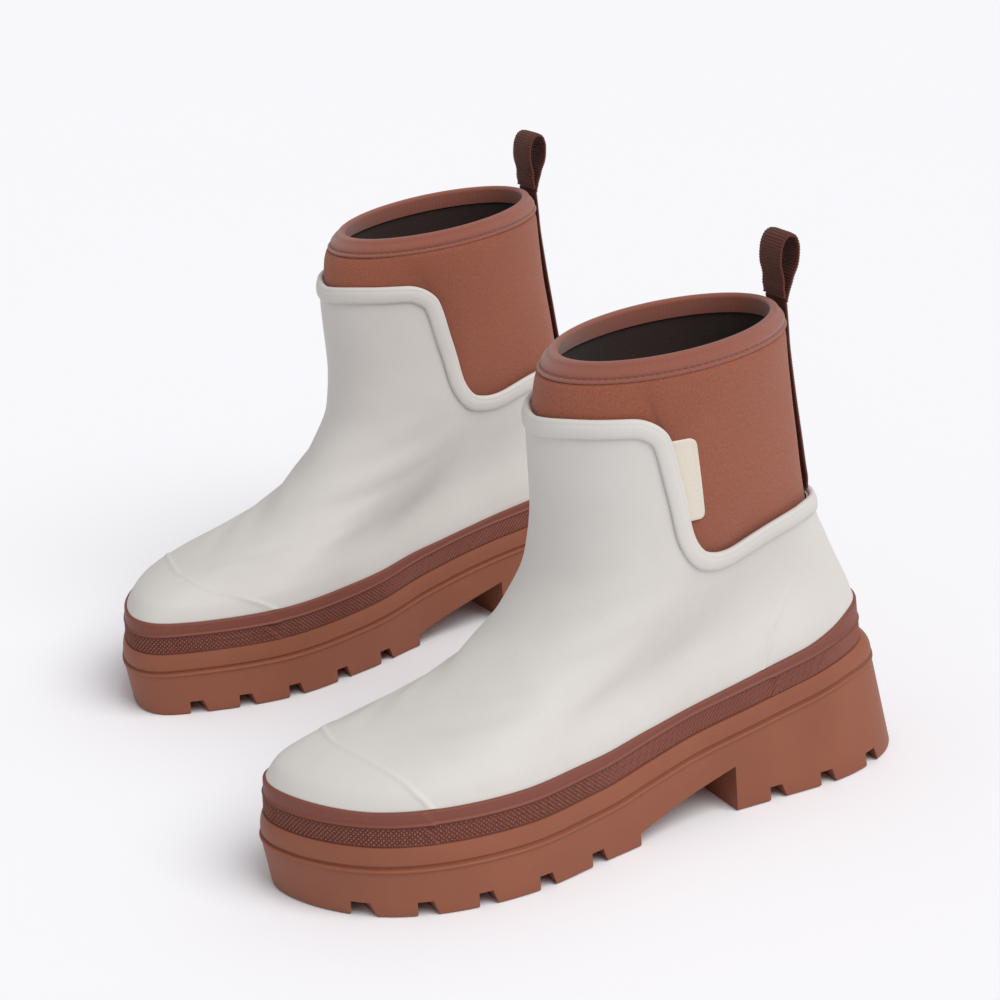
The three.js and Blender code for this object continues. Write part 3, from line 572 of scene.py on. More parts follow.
# The layer ends under the strips: where they lie, which way they face, how far they lean.
FOLDS = ((.144, 1, .5), (.358, -1, .9), (.642, 1, .9), (.856, -1, .5))
STRIP_GIRTH = 720
FOLD_STEP, FOLD_RIDGE, FOLD_LEAN, FOLD_WIDTH = .5, .55, 3.5, 1.3
FOLD_NEAR, FOLD_FAR = 8, 45
FOXING_LOW, FOXING_HIGH = (.185, .052, .032), (.20, .058, .037)


def knurl_top(x):
    return sole_top(x) + KNURL_HEIGHT


def foxing_top(x):
    return knurl_top(x) + FOXING_HEIGHT * along(FOXING_SHARE, x / SOLE_LENGTH)


def fold(turn, rise):
    """How far a strip is pushed out by the layer ends beneath: rise is -1 to 1 up the strip."""
    out = 0
    for place, way, lean in FOLDS:
        off = (turn - place) * way * STRIP_GIRTH + rise * lean * FOLD_LEAN
        out = out + FOLD_RIDGE * np.exp(-(off / FOLD_WIDTH) ** 2)
        out = out + FOLD_STEP * eased(-1.5, 1.5, -off) * eased(-FOLD_FAR, -FOLD_NEAR, off)
    return out


def strip(columns, rows, bottom, top, proud, back):
    """Rings of a strip round the sole: proud(turn, x, share, rise) stands out from the upper,
    and its back lies this far off it."""
    turn = turns(columns)
    x = lip_curve(turn)[:, 0]
    inset = upper_inset(x)
    low, high = bottom(x), top(x)
    rings = [np.column_stack([lip_point(turn, inset - back), low])]
    for share in rows:
        height = mix(low, high, share)
        rings.append(np.column_stack([lip_point(turn, inset - proud(turn, x, share, height - low)),
                                      height]))
    rings.append(np.column_stack([lip_point(turn, inset - back), high]))
    return rings


def tooth(phase):
    """A triangle wave: 0 between two ribs, 1 on each."""
    return 1 - np.abs(2 * (phase % 1) - 1)


knurl_turns = turns(KNURL_COLUMNS)
knurl_line = lip_point(knurl_turns, upper_inset(lip_curve(knurl_turns)[:, 0]) - KNURL_PROUD)
knurl_steps = np.linalg.norm(np.roll(knurl_line, -1, 0) - knurl_line, axis=1)
knurl_way = np.concatenate([[0], np.cumsum(knurl_steps)])[:-1]
knurl_count = round(knurl_steps.sum() / KNURL_PITCH)
knurl_phase = knurl_way / knurl_steps.sum() * knurl_count


def knurl(turn, x, share, rise):
    """How far the knurled strip stands out; it keeps the height of its tips for the painted shade and
    highlight in its colour.
    """
    slant = rise * KNURL_LEAN / KNURL_PITCH
    side = np.where(turn < .5, 1, -1)
    ribs = tooth(knurl_phase + slant * side) ** KNURL_SHARP
    diamonds = (np.minimum(tooth(knurl_phase + slant), tooth(knurl_phase - slant))
                * DIAMOND_SWELL)
    toe = eased(RIBS_FROM, RIBS_TO, x / SOLE_LENGTH)
    edge = min(1, min(share, 1 - share) / KNURL_BORDER)
    knurl_tips.append(np.clip(mix(ribs, diamonds, toe), 0, 1) * edge)
    return (mix(KNURL_PROUD, KNURL_PROUD - .4, share) + fold(turn, share * 2 - 1) * .9
            + KNURL_DEPTH * (mix(ribs, diamonds, toe) - .5) * edge)


def foxing(turn, x, share, rise):
    """How far the smooth strip stands out: a raised line, a groove above it, a round top."""
    line = .6 * np.exp(-((rise - .5) / .38) ** 2) - .12 * np.exp(-((rise - 1.5) / .4) ** 2)
    round_off = 1.1 * eased(.9, 1, share) ** 2
    return mix(FOXING_PROUD, FOXING_PROUD - .5, share) + line - round_off + fold(turn, share * 2 - 1)


knurl_tips = []
knurled = raw_mesh("knurled_blank", *skin(strip(
    KNURL_COLUMNS, np.linspace(0, 1, KNURL_ROWS), lambda x: sole_top(x) + .15,
    lambda x: knurl_top(x) + .1, knurl, .2), closed=True))
tips = np.zeros((KNURL_ROWS + 2, KNURL_COLUMNS))
tips[1:-1] = knurl_tips
knurled.data.attributes.new("tip", "FLOAT", "POINT").data.foreach_set("value", tips.ravel())
face_out(knurled)


def paint_knurl_light_and_shade(wire):
    """The foxing's rubber with painted light: a pale painted highlight on the knurl's tips and darker
    painted shade between them.
    """
    tip = wire.node("Attribute", {"attribute_name": "tip"}, {}, "Fac")
    colour, roughness, height = paint_rubber(FOXING_LOW, FOXING_HIGH, .03)(wire)
    # Painted shade: the rubber is darkened between the tips.
    colour = tip.between(.15, .6).colours([part * .74 for part in FOXING_LOW], colour)
    # Painted highlight: the tips are turned pale.
    return tip.between(.7, 1).colours(colour, KNURL_TIP_HIGHLIGHT), roughness, height


smooth_foxing = raw_mesh("foxing_blank", *skin(strip(
    FOXING_COLUMNS, FOXING_ROWS, lambda x: knurl_top(x) + .12, foxing_top, foxing, .1),
    closed=True))
face_out(smooth_foxing)
foxing_rubber = finish("foxing_rubber", paint_rubber(FOXING_LOW, FOXING_HIGH, .04),
                       Specular_IOR_Level=.4)
knurled_rubber = finish("knurled_rubber", paint_knurl_light_and_shade, Specular_IOR_Level=.4)
pair("knurled_strip", knurled, knurled_rubber, "knurled_band", 30)
pair("smooth_foxing", smooth_foxing, foxing_rubber, "foxing_strip", 50)

# ---------- Rubber shell ----------
# The upper itself: pale rubber vulcanised on the last, low round the heel and high in
# front, matt, and softly creased where the ankle bends.
BOOT_HEIGHT, SHAFT_LENGTH, SHAFT_WIDTH, SHAFT_SET, SHAFT_SIDE = 209.5, 114.0, 80.0, 45.5, 2.0
# One row a level: back in, back up, front in, front up, girth, oval, curve of the sole.
LEVELS = [
    (0, 0, 1, 0, 1, 0, 1), (0, 0, 1, 0, 1, 0, 1), (.07, .045, .962, .037, .96, .01, .93),
    (.18, .105, .874, .067, .88, .05, .8), (.3, .165, .72, .092, .81, .12, .64),
    (.43, .23, .522, .13, .77, .23, .48), (.555, .29, .338, .198, .75, .37, .34),
    (.66, .36, .176, .302, .76, .52, .22), (.73, .44, .069, .438, .77, .68, .12),
    (.8, .56, .042, .592, .77, .84, .05), (.89, .716, .044, .749, .77, .95, 0),
    (.964, .873, .022, .887, .77, 1, 0), (1, 1, -.018, .964, .77, 1, 0),
]
TOP_LEVEL = len(LEVELS) - 1
SHELL_EDGE = [(0, 7.1), (.055, 7.2), (.112, 7.55), (.168, 7.64), (.216, 7.56), (.255, 7.79),
              (.282, 8.475), (.293, 9.33), (.306, 10.24), (.345, 10.56), (.415, 10.58),
              (.5, 10.51)]
SHELL_WALL = 2.4
SHELL_COLUMNS, SHELL_ROWS = 216, 84
# Each crease: turn and level of its middle, depth, how wide and how tall it is.
CREASES = ((.40, 5.9, .9, .085, .35), (.60, 5.9, .9, .085, .35), (.44, 4.75, .55, .07, .3),
           (.56, 4.75, .55, .07, .3), (.37, 7.0, .5, .06, .3), (.63, 7.0, .5, .06, .3))
BONE_LOW, BONE_HIGH = (.61, .58, .543), (.64, .61, .573)


def last_point(turn, level):
    """The last's surface: turn runs round from the heel, level up from the sole to the top."""
    turn, level = np.broadcast_arrays(np.asarray(turn, float), np.asarray(level, float))
    back, back_rise, front, front_rise, girth, oval, curve = (
        along([(i, row[k]) for i, row in enumerate(LEVELS)], level) for k in range(7))
    edge_x = lip_curve(turn)[..., 0]
    foot = lip_point(turn, upper_inset(edge_x))
    ends = lip_curve(np.array([0, .5]))[:, 0]
    heel_foot, toe_foot = (lip_point(np.array(t), upper_inset(x))[0] for t, x in zip((0, .5), ends))
    low = np.minimum(level, 1)
    base, back_base, front_base = (mix(sole_top(x) + .3, foxing_top(x), low)
                                   for x in (edge_x, ends[0], ends[1]))
    back_x, front_x = mix(heel_foot, SHAFT_SET, back), mix(SHAFT_SET + SHAFT_LENGTH, toe_foot, front)
    back_z, front_z = mix(back_base, BOOT_HEIGHT, back_rise), mix(front_base, BOOT_HEIGHT, front_rise)
    foot_share = (foot[..., 0] - heel_foot) / (toe_foot - heel_foot)
    angle = 2 * math.pi * turn
    oval_side = SHAFT_SIDE + SHAFT_WIDTH / 2 * np.sin(angle)
    length_share = mix(foot_share, (1 - np.cos(angle)) / 2, oval)
    sag = base - mix(back_base, front_base, foot_share)
    return np.stack([mix(back_x, front_x, length_share), mix(foot[..., 1] * girth, oval_side, oval),
                     mix(back_z, front_z, length_share) + sag * curve], -1)


def unit(vectors):
    return vectors / np.linalg.norm(vectors, axis=-1)[..., None]


def last_normal(turn, level):
    turn, level = np.broadcast_arrays(np.asarray(turn, float), np.asarray(level, float))
    ahead = last_point(turn + .004, level) - last_point(turn - .004, level)
    up = (last_point(turn, np.minimum(level + .05, TOP_LEVEL))
          - last_point(turn, np.maximum(level - .05, 0)))
    return unit(np.cross(up, ahead))


def off_last(turn, level, out):
    return last_point(turn, level) + last_normal(turn, level) * np.asarray(out)[..., None]


def edge_at(turn):
    """Where the shell's top edge runs: (turn, level), on columns that lean to meet it."""
    u = np.asarray(turn, float) % 1
    half = np.where(u <= .5, u, 1 - u)
    place = half * 2 * (len(SHELL_EDGE) - 1)
    round_, level = (along([(i, row[k]) for i, row in enumerate(SHELL_EDGE)], place)
                     for k in (0, 1))
    return np.where(u <= .5, round_, 1 - round_), level


def column_place(turn, row):
    """(turn, level) on a column that runs from the sole, row 0, to the shell's edge, row 1,
    and on to the collar, row 2."""
    edge_turn, edge_level = edge_at(turn)
    above = max(row - 1, 0)
    if row <= 1:
        return mix(turn, edge_turn, row), edge_level * row
    return mix(edge_turn, turn, above), mix(edge_level, TOP_LEVEL, above)


def creased(turn, level):
    """Soft hollows across the ankle, each beside the low swell that it throws up."""
    out = np.zeros(np.broadcast(turn, level).shape)
    for at_turn, at_level, depth, wide, tall in CREASES:
        reach = np.exp(-((turn - at_turn) / wide) ** 2)
        rise = (level - at_level - (np.abs(turn - .5) - .1) * 4) / tall
        out = out + reach * depth * (.6 * np.exp(-(rise - 1.6) ** 2) - np.exp(-rise ** 2))
    return out


shell_turns = turns(SHELL_COLUMNS)
shell_rings = []
for row in np.linspace(0, 1, SHELL_ROWS):
    turn, level = column_place(shell_turns, row)
    shell_rings.append(off_last(turn, level, creased(turn, level)))
shell = raw_mesh("shell_blank", *skin(shell_rings))
modify(shell, "SOLIDIFY", thickness=SHELL_WALL, offset=1)
face_out(shell)
bone_rubber = finish("bone_rubber", paint_rubber(BONE_LOW, BONE_HIGH, .035, .02, .10),
                     Specular_IOR_Level=.35)
pair("shell_upper", shell, bone_rubber, "rubber_shell", 60)

# ---------- Toe cap and heel counter ----------
# Extra sheets of the same rubber laid over toe and heel before curing, so that only their
# edges read: a fine raised line across the vamp, and one up each side of the heel that
# fades before the top.
TOE_CAP_EDGE = [(.347, 1.12), (.362, 1.9), (.382, 2.65), (.412, 3.25), (.45, 3.62), (.48, 3.72),
                (.5, 3.73)]
COUNTER_EDGE = [(.155, 1.12), (.149, 2.2), (.14, 3.6), (.122, 5.0), (.06, 5.7), (0, 5.8)]
OVERLAY_NARROW = .93
CAP_LAYER, CAP_RIDGE, CAP_EDGE, CAP_SOFT = .12, .5, 2.8, 1.3
OVERLAY_RISE, OVERLAY_SINK = .03, .12
OVERLAY_ROWS = 1 - (1 - np.linspace(0, 1, 64)) ** 1.9
COUNTER_FADE = (78, 96)


def overlay(middle, edge, columns, fade):
    """A sheet between the foxing and a curved edge; fade(z) thins it with height."""
    spread = np.linspace(0, 1, columns)
    half = np.abs(spread * 2 - 1)
    side = np.where(spread < .5, 1, -1)
    stations = [[(i / (len(edge) - 1), row[k]) for i, row in enumerate(edge)] for k in (0, 1)]
    edge_turn = middle - side * np.abs(middle - along(stations[0], 1 - half))
    edge_level = along(stations[1], 1 - half)
    base_turn = middle - side * half * abs(middle - edge[0][0]) * OVERLAY_NARROW
    grid = [(mix(base_turn, edge_turn, j), mix(edge[0][1], edge_level, j)) for j in OVERLAY_ROWS]
    border = last_point(*grid[-1])
    faces_up, faces_down = [], []
    for turn, level in grid:
        bare = last_point(turn, level)
        gap = np.linalg.norm(bare[:, None] - border[None], axis=-1).min(axis=1)
        lift = (CAP_LAYER * eased(0, CAP_EDGE, gap) + CAP_RIDGE * eased(0, CAP_EDGE * .8, gap)
                * np.exp(-((gap - CAP_EDGE) / CAP_SOFT) ** 2)) * fade(bare[:, 2])
        faces_up.append(off_last(turn, level, creased(turn, level) + OVERLAY_RISE + lift))
        faces_down.append(off_last(turn, level, creased(turn, level) - OVERLAY_SINK))
    rings = [np.concatenate([up, down[::-1]]) for up, down in zip(faces_up, faces_down)]
    made = raw_mesh("overlay_blank", *skin(rings))
    work = bmesh.new()
    work.from_mesh(made.data)
    work.verts.ensure_lookup_table()
    size = 2 * columns
    for ring in (0, len(rings) - 1):
        for i in range(columns - 1):
            spots = (ring * size + i, ring * size + i + 1, ring * size + size - 2 - i,
                     ring * size + size - 1 - i)
            work.faces.new([work.verts[k] for k in spots])
    bmesh.ops.recalc_face_normals(work, faces=work.faces)
    work.to_mesh(made.data)
    work.free()
    return made


cap = overlay(.5, TOE_CAP_EDGE, 160, lambda z: 1)
pair("toe_cap_layer", cap, bone_rubber, "toe_cap", 60)
counter = overlay(0, COUNTER_EDGE, 240, lambda z: 1 - eased(*COUNTER_FADE, z))
pair("heel_counter_layer", counter, bone_rubber, "heel_counter", 60)

# ---------- Rolled binding ----------
# A folded strip of the shell's rubber right round its top edge, rolled over on to the
# neoprene, with a fine groove beneath and a softer one just below the top.
BINDING_COLUMNS = 320
BINDING_SECTION = [
    (.05, -6.25), (.55, -6.3), (1.15, -6.0), (1.5, -5.4), (1.72, -4.4), (1.85, -3.0),
    (1.8, -1.6), (1.6, -.7), (1.42, -.35), (1.45, .1), (1.3, .75), (.85, 1.35), (.2, 1.65),
    (-.5, 1.6), (-1.1, 1.25), (-1.5, .6), (-1.6, -.2), (-1.3, -.7), (-.6, -.2), (.05, -.2),
]


def edge_frame(turn):
    """The shell's edge: its points, the way out of the surface, and the way up from the edge."""
    turn = np.asarray(turn, float)
    outward = last_normal(*edge_at(turn))
    ahead = unit(last_point(*edge_at(turn + .004)) - last_point(*edge_at(turn - .004)))
    return last_point(*edge_at(turn)), outward, -np.cross(outward, ahead)


edge, outward, upward = edge_frame(turns(BINDING_COLUMNS))
binding = raw_mesh("binding_blank", *skin([edge + outward * out + upward * rise
                                           for out, rise in BINDING_SECTION], closed=True))
face_out(binding)
pair("rolled_binding", binding, bone_rubber, "shell_binding", 60)

# ---------- Neoprene sock and lining ----------
# The waterproof inner boot: foam neoprene with a heathered knit face that shows above the
# shell, and a thin dark knit bonded to its inside.
SHELL_ROOM, STIFFENER_ROOM, STIFFENER_TOP = .8, 1.2, 7
NEOPRENE_WALL, LINING_WALL, LINING_GAP = 3.4, .7, .05
SOCK_COLUMNS = 240
KNIT_PITCH, LINING_PITCH = 1.05, 1.3
# Levels between which the sock swells out of the binding and draws in under the tape.
SWELL_FROM, SWELL_FULL, SWELL_ENDS, SWELL_OUT, NARROW_FROM = 7.6, 9.5, 11.35, 11.8, 11.45
SWELL_LOW, SWELL_MORE, SWELL_PEAK, SWELL_WAVE = .5, 1.1, 11.2, .3
COLLAR_NARROW = 2.1
NEOPRENE_LOW, NEOPRENE_HIGH = (.215, .063, .036), (.40, .130, .074)
LINING_LOW, LINING_HIGH = (.018, .010, .009), (.05, .03, .026)


def sock_face(level):
    """How far the sock's face lies off the last: within the shell, and the stiffeners below."""
    return -(SHELL_WALL + SHELL_ROOM + STIFFENER_ROOM * np.clip(STIFFENER_TOP - level, 0, 1))


def no_swell(turn, level):
    return 0 * turn


def sock_layer(rows, outer, inner, swell):
    """A closed layer of the sock between two faces, given as distances off the last."""
    sock_turns = turns(SOCK_COLUMNS)
    places = [column_place(sock_turns, row) for row in rows]
    out = [off_last(t, l, outer(l) + swell(t, l)) for t, l in places]
    back = [off_last(t, l, inner(l)) for t, l in places[::-1]]
    made = raw_mesh("sock_blank", *skin(out + back, closed=True))
    face_out(made)
    return made


def sock_swell(turn, level):
    """The foam stands a little fuller between the binding and the collar tape."""
    free = eased(SWELL_FROM, SWELL_FULL, level) * (1 - eased(SWELL_ENDS, SWELL_OUT, level))
    spine = eased(.03, .09, np.abs((turn + .5) % 1 - .5))
    wave = SWELL_WAVE * np.sin(turn * 24) * np.sin(level * 2.1)
    fuller = SWELL_LOW + SWELL_MORE * eased(SWELL_FULL, SWELL_PEAK, level) + wave
    return free * spine * fuller - COLLAR_NARROW * eased(NARROW_FROM, TOP_LEVEL, level)


def cloth_place(wire):
    """The cloth's own UV map, in millimetres."""
    return wire.node("UVMap", {"uv_map": "UVMap"})


def paint_knit(low, high, pitch, depth):
    """Fine knit: columns of small loops from the cloth's own UV map, and heathered yarn."""
    def paint(wire):
        weave = cloth_place(wire)
        parts = wire.node("SeparateXYZ", {}, {0: weave})
        across, up = parts, Wire(wire.tree, parts.socket.node.outputs[1])
        row = (up * (1 / pitch)).sum("SINE", up * (2 * math.pi / pitch))
        column = across.sum("SINE", (across + row * (pitch * .18)) * (2 * math.pi / pitch))
        loops = column * row * .5 + .5
        yarn = noise(wire, wire.node("Mapping", {}, {"Vector": weave, "Scale": (1.3, .6, 1)}), 1.3,
                     4, .75)
        cloud = noise(wire, weave, .03)
        tone = yarn.between(.3, .72) * .7 + cloud * .2 + loops * .12
        return tone.colours(low, high), .88, loops * depth + yarn * (depth * .8)
    return paint


hidden_rows, shown_rows = np.linspace(0, .94, 12), np.linspace(.96, 2, 44)
sock = sock_layer(np.concatenate([hidden_rows, shown_rows]), sock_face,
                  lambda l: sock_face(l) - NEOPRENE_WALL, sock_swell)
neoprene = finish("neoprene_knit", paint_knit(NEOPRENE_LOW, NEOPRENE_HIGH, KNIT_PITCH, .14),
                  Sheen_Weight=.12, Sheen_Roughness=.5, Specular_IOR_Level=.25)
pair("neoprene_sock", sock, neoprene, "neoprene_bootie", 60)
lining = sock_layer(np.linspace(.32, 1.995, 60),
                    lambda l: sock_face(l) - NEOPRENE_WALL - LINING_GAP,
                    lambda l: sock_face(l) - NEOPRENE_WALL - LINING_GAP - LINING_WALL, no_swell)
lining_knit = finish("lining_knit", paint_knit(LINING_LOW, LINING_HIGH, LINING_PITCH, .12),
                     Sheen_Weight=.2, Specular_IOR_Level=.2)
pair("collar_lining", lining, lining_knit, "shaft_lining", 60)

# ---------- Collar tape ----------
# A stretch tape folded over the collar's raw edge and sewn down: a ribbed lower edge and
# one row of topstitching that shows on the outside as short dashes.
TAPE_WALL, TAPE_HEM, STITCH_RISE = 1.1, 6.5, -4.7
STITCH_LENGTH, STITCH_PITCH, STITCH_THICK, STITCH_OUT = 2.1, 3.0, .55, .62
TAPE_COLUMNS, SEAM_COLUMNS = 240, 1440
THREAD_LOW, THREAD_HIGH = (.13, .042, .028), (.24, .08, .055)
TAPE_LOW, TAPE_HIGH = (.22, .070, .047), (.35, .118, .078)
tape_face = sock_face(TOP_LEVEL) + .15
tape_back = sock_face(TOP_LEVEL) - NEOPRENE_WALL - LINING_WALL - .25
rim_face, rim_back = tape_face - COLLAR_NARROW, tape_back
rim_middle, rim_half = (rim_face + rim_back) / 2, (rim_face - rim_back) / 2 + TAPE_WALL * .75
# Down the outside: rim, slope, sewn groove, raised lower edge.
tape_section = [
    (tape_face, -TAPE_HEM - .1), (tape_face + .75, -TAPE_HEM - .25),
    (tape_face + 1.35, -TAPE_HEM + .1), (tape_face + 1.5, -TAPE_HEM + .55),
    (tape_face + 1.2, -TAPE_HEM + .95), (tape_face + .85, STITCH_RISE - .5),
    (tape_face + .45, STITCH_RISE), (tape_face + .8, STITCH_RISE + .5),
    (tape_face + .75, -3), (tape_face + .1, -1.7),
]
tape_section += [(rim_middle + rim_half * math.cos(a), 1.7 * math.sin(a) - .1)
                 for a in np.linspace(-.1, 3.24, 15)]
tape_section += [(rim_back - TAPE_WALL * .8, -2), (rim_back - TAPE_WALL * .8, -4),
                 (rim_back - TAPE_WALL * .6, -TAPE_HEM), (rim_back, -TAPE_HEM),
                 (rim_back, -.8), (rim_face, -.8)]


def collar_frame(turn):
    """The collar's top edge: its points, the way out, level, and the way up along the sock."""
    outward = last_normal(turn, TOP_LEVEL)
    outward[:, 2] = 0
    edge = last_point(turn, TOP_LEVEL)
    return edge, unit(outward), unit(edge - last_point(turn, TOP_LEVEL - .6))


def thread_run(points, out, way, length, thick):
    """One flattened stitch, modelled once, laid at each point along its way."""
    bpy.ops.mesh.primitive_uv_sphere_add(segments=8, ring_count=6, radius=1)
    stitch = bpy.context.object
    shape = np.array([vertex.co[:] for vertex in stitch.data.vertices])
    corners = sorted(list(face.vertices) for face in stitch.data.polygons)
    bpy.data.objects.remove(stitch)
    shape = shape * (length / 2, thick / 2, thick / 2)
    shape[:, 0] = np.sign(shape[:, 0]) * np.abs(shape[:, 0]) ** .8 * (length / 2) ** .2
    places, faces = [], []
    for point, normal, along_way in zip(points, out, way):
        across = np.cross(normal, along_way)
        faces += [[k + len(places) * len(shape) for k in face] for face in corners]
        places.append(point + shape[:, :1] * along_way + shape[:, 1:2] * across
                      + shape[:, 2:] * normal)
    return raw_mesh("thread_blank", np.concatenate(places), faces)


edge, outward, upward = collar_frame(turns(TAPE_COLUMNS))
tape = raw_mesh("tape_blank", *skin([edge + outward * out + upward * rise
                                     for out, rise in tape_section], closed=True))
face_out(tape)


def paint_tape(wire):
    weave = cloth_place(wire)
    rib = wire.node("TexWave", {"wave_type": "BANDS", "bands_direction": "X"},
                    {"Vector": weave, "Scale": .42, "Distortion": .6, "Detail Scale": 3})
    yarn = noise(wire, weave, 2.2, 3, .6)
    return (rib * .35 + yarn * .6).colours(TAPE_LOW, TAPE_HIGH), .85, rib * .12 + yarn * .08


collar_tape = finish("collar_tape", paint_tape, Sheen_Weight=.3, Specular_IOR_Level=.25)
pair("collar_tape", tape, collar_tape, "collar_binding", 60)

edge, outward, upward = collar_frame(turns(SEAM_COLUMNS))
line = edge + outward * (tape_face + STITCH_OUT) + upward * STITCH_RISE
way = np.concatenate([[0], np.cumsum(np.linalg.norm(np.diff(line, axis=0), axis=1))])
stitch_at = np.interp(np.arange(0, way[-1], STITCH_PITCH), way, np.arange(len(way))).astype(int)
stitch_way = unit(np.roll(line, -1, 0) - np.roll(line, 1, 0))
stitches = thread_run(line[stitch_at], outward[stitch_at], stitch_way[stitch_at],
                      STITCH_LENGTH, STITCH_THICK)


def paint_thread(low, high):
    def paint(wire):
        twist = noise(wire, object_place(wire), 2600, 2)
        return twist.colours(low, high), .7, twist * .05
    return paint


thread = finish("sewing_thread", paint_thread(THREAD_LOW, THREAD_HIGH), Sheen_Weight=.2)
pair("collar_stitches", stitches, thread, None, 60)

# ---------- Spine webbing ----------
# A strip of ribbed nylon webbing, sewn up the back of the neoprene from behind the shell's
# binding to the collar, where it carries on as the pull loop.
WEBBING_WIDTH, WEBBING_WALL = 16.0, 1.6
RIB_PITCH, RIB_DEPTH = 1.25, .16
SPINE_LENGTH = 98
WEBBING_LOW, WEBBING_HIGH = (.055, .014, .008), (.17, .046, .027)
webbing_half = WEBBING_WIDTH / 2 / (math.pi * SHAFT_WIDTH * 1.15)
SPINE_FOOT, SPINE_ROWS, SPINE_FLAT = SHELL_EDGE[0][1] + .2, 420, .7
spine_top = tape_face + 1.5 + .1
spine_lifts = [(0, sock_face(8) + .5), (.12, sock_face(8) + 1.5), (.75, sock_face(8) + 1.5),
               (.9, spine_top), (1, spine_top)]
spread = np.linspace(-1, 1, 13)


def webbing_ring(spot, way_out, lift, reach):
    """A section of the webbing, reach along its length: thin edges, and a rib across it."""
    rib = RIB_DEPTH * math.sin(2 * math.pi * reach / RIB_PITCH)
    thick = (WEBBING_WALL / 2 * (1 - .5 * np.abs(spread) ** 8) + rib)[:, None]
    return np.concatenate([spot + way_out * (lift + thick),
                           (spot + way_out * (lift - thick))[::-1]])


spine_rings = []
for share in np.linspace(0, 1, SPINE_ROWS):
    level = mix(SPINE_FOOT, TOP_LEVEL, share)
    lift = float(along(spine_lifts, share)) + WEBBING_WALL / 2
    flat = last_point(np.array(0.0), level) + spread[:, None] * (0, WEBBING_WIDTH / 2, 0)
    spot = mix(last_point(spread * webbing_half, level), flat, SPINE_FLAT)
    way_out = mix(last_normal(spread * webbing_half, level), last_normal(0 * spread, level),
                  SPINE_FLAT)
    spine_rings.append(webbing_ring(spot, way_out, lift, share * SPINE_LENGTH))
spine = raw_mesh("spine_blank", *skin(spine_rings, caps=True))
face_out(spine)


def paint_webbing(wire):
    weave = cloth_place(wire)
    yarn = noise(wire, wire.node("Mapping", {}, {"Vector": weave, "Scale": (3.2, 1, 1)}), 1.4, 3, .6)
    fibre = noise(wire, weave, 6, 2)
    return (yarn * .8 + fibre * .3 - .1).colours(WEBBING_LOW, WEBBING_HIGH), .72, (
        yarn * .15 + fibre * .08)


webbing = finish("ribbed_webbing", paint_webbing, Sheen_Weight=.08, Specular_IOR_Level=.25)
pair("spine_webbing", spine, webbing, "back_webbing", 60)

# ---------- Pull loop ----------
# The same webbing folded over into a teardrop above the collar: its rear leg is the spine,
# its front leg tucks down behind, and it leans back a little just above the pinch.
LOOP_HEIGHT, LOOP_DEPTH, LOOP_LEAN, LOOP_ROWS = 28.0, 10.5, .13, 360
PINCH_RISE = BOOT_HEIGHT + WEBBING_WALL + .3 + 1
BEND_BELOW, BEND_ABOVE, STRAIGHT_FOOT = 2.0, 3.0, 6
pinch = off_last(np.array([0.0]), TOP_LEVEL, np.array([spine_top + WEBBING_WALL / 2]))[0]
loop_top = LOOP_HEIGHT - WEBBING_WALL - .1 - WEBBING_WALL / 2
loop_half = LOOP_DEPTH / 2 - WEBBING_WALL / 2
# (backwards, up) from the pinch, up the rear leg, over the top and down the front leg.
LOOP_LINE = [
    (0, -3.0), (.25, -1.4), (.8, .3), (1.5, 2.8), (.55 * loop_half, .30 * loop_top),
    (.93 * loop_half, .50 * loop_top), (loop_half, .68 * loop_top),
    (.86 * loop_half, .86 * loop_top), (.46 * loop_half, .975 * loop_top), (0, loop_top),
    (-.5 * loop_half, .96 * loop_top), (-.88 * loop_half, .84 * loop_top),
    (-loop_half, .66 * loop_top), (-.9 * loop_half, .48 * loop_top),
    (-.5 * loop_half, .28 * loop_top), (-1.5, 2.6), (-1.05, .8), (-1.0, -.4), (-1.2, -1.2),
]


def smooth_line(points, count):
    """A smooth curve through points, sampled evenly along its length."""
    points = np.array(points, float)
    reach = np.concatenate([[0], np.cumsum(np.linalg.norm(np.diff(points, axis=0), axis=1))])
    dense = np.linspace(0, reach[-1], 4000)
    tangents = np.gradient(points, reach, axis=0)
    i = np.clip(np.searchsorted(reach, dense, side="right") - 1, 0, len(reach) - 2)
    step = (reach[i + 1] - reach[i])[:, None]
    t = (dense - reach[i])[:, None] / step
    curve = ((1 + 2 * t) * (1 - t) ** 2 * points[i] + t * (1 - t) ** 2 * step * tangents[i]
             + t * t * (3 - 2 * t) * points[i + 1] + t * t * (t - 1) * step * tangents[i + 1])
    walk = np.concatenate([[0], np.cumsum(np.linalg.norm(np.diff(curve, axis=0), axis=1))])
    evenly = np.linspace(0, walk[-1], count)
    return np.column_stack([np.interp(evenly, walk, curve[:, k]) for k in (0, 1)]), walk[-1]


def bend_loop(piece, side):
    """Bakes the loop's placement into its mesh. The ends of a bend at the pinch are worked out but
    not used: the loop does not bend, and it is given no body.
    """
    at = np.array([[pinch[0], SHAFT_SIDE, PINCH_RISE]] * 2) + [[0, 0, -BEND_BELOW],
                                                               [0, 0, BEND_ABOVE]]
    start, end = stand(at, side)
    tuple(start)
    tuple(end)
    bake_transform(piece)


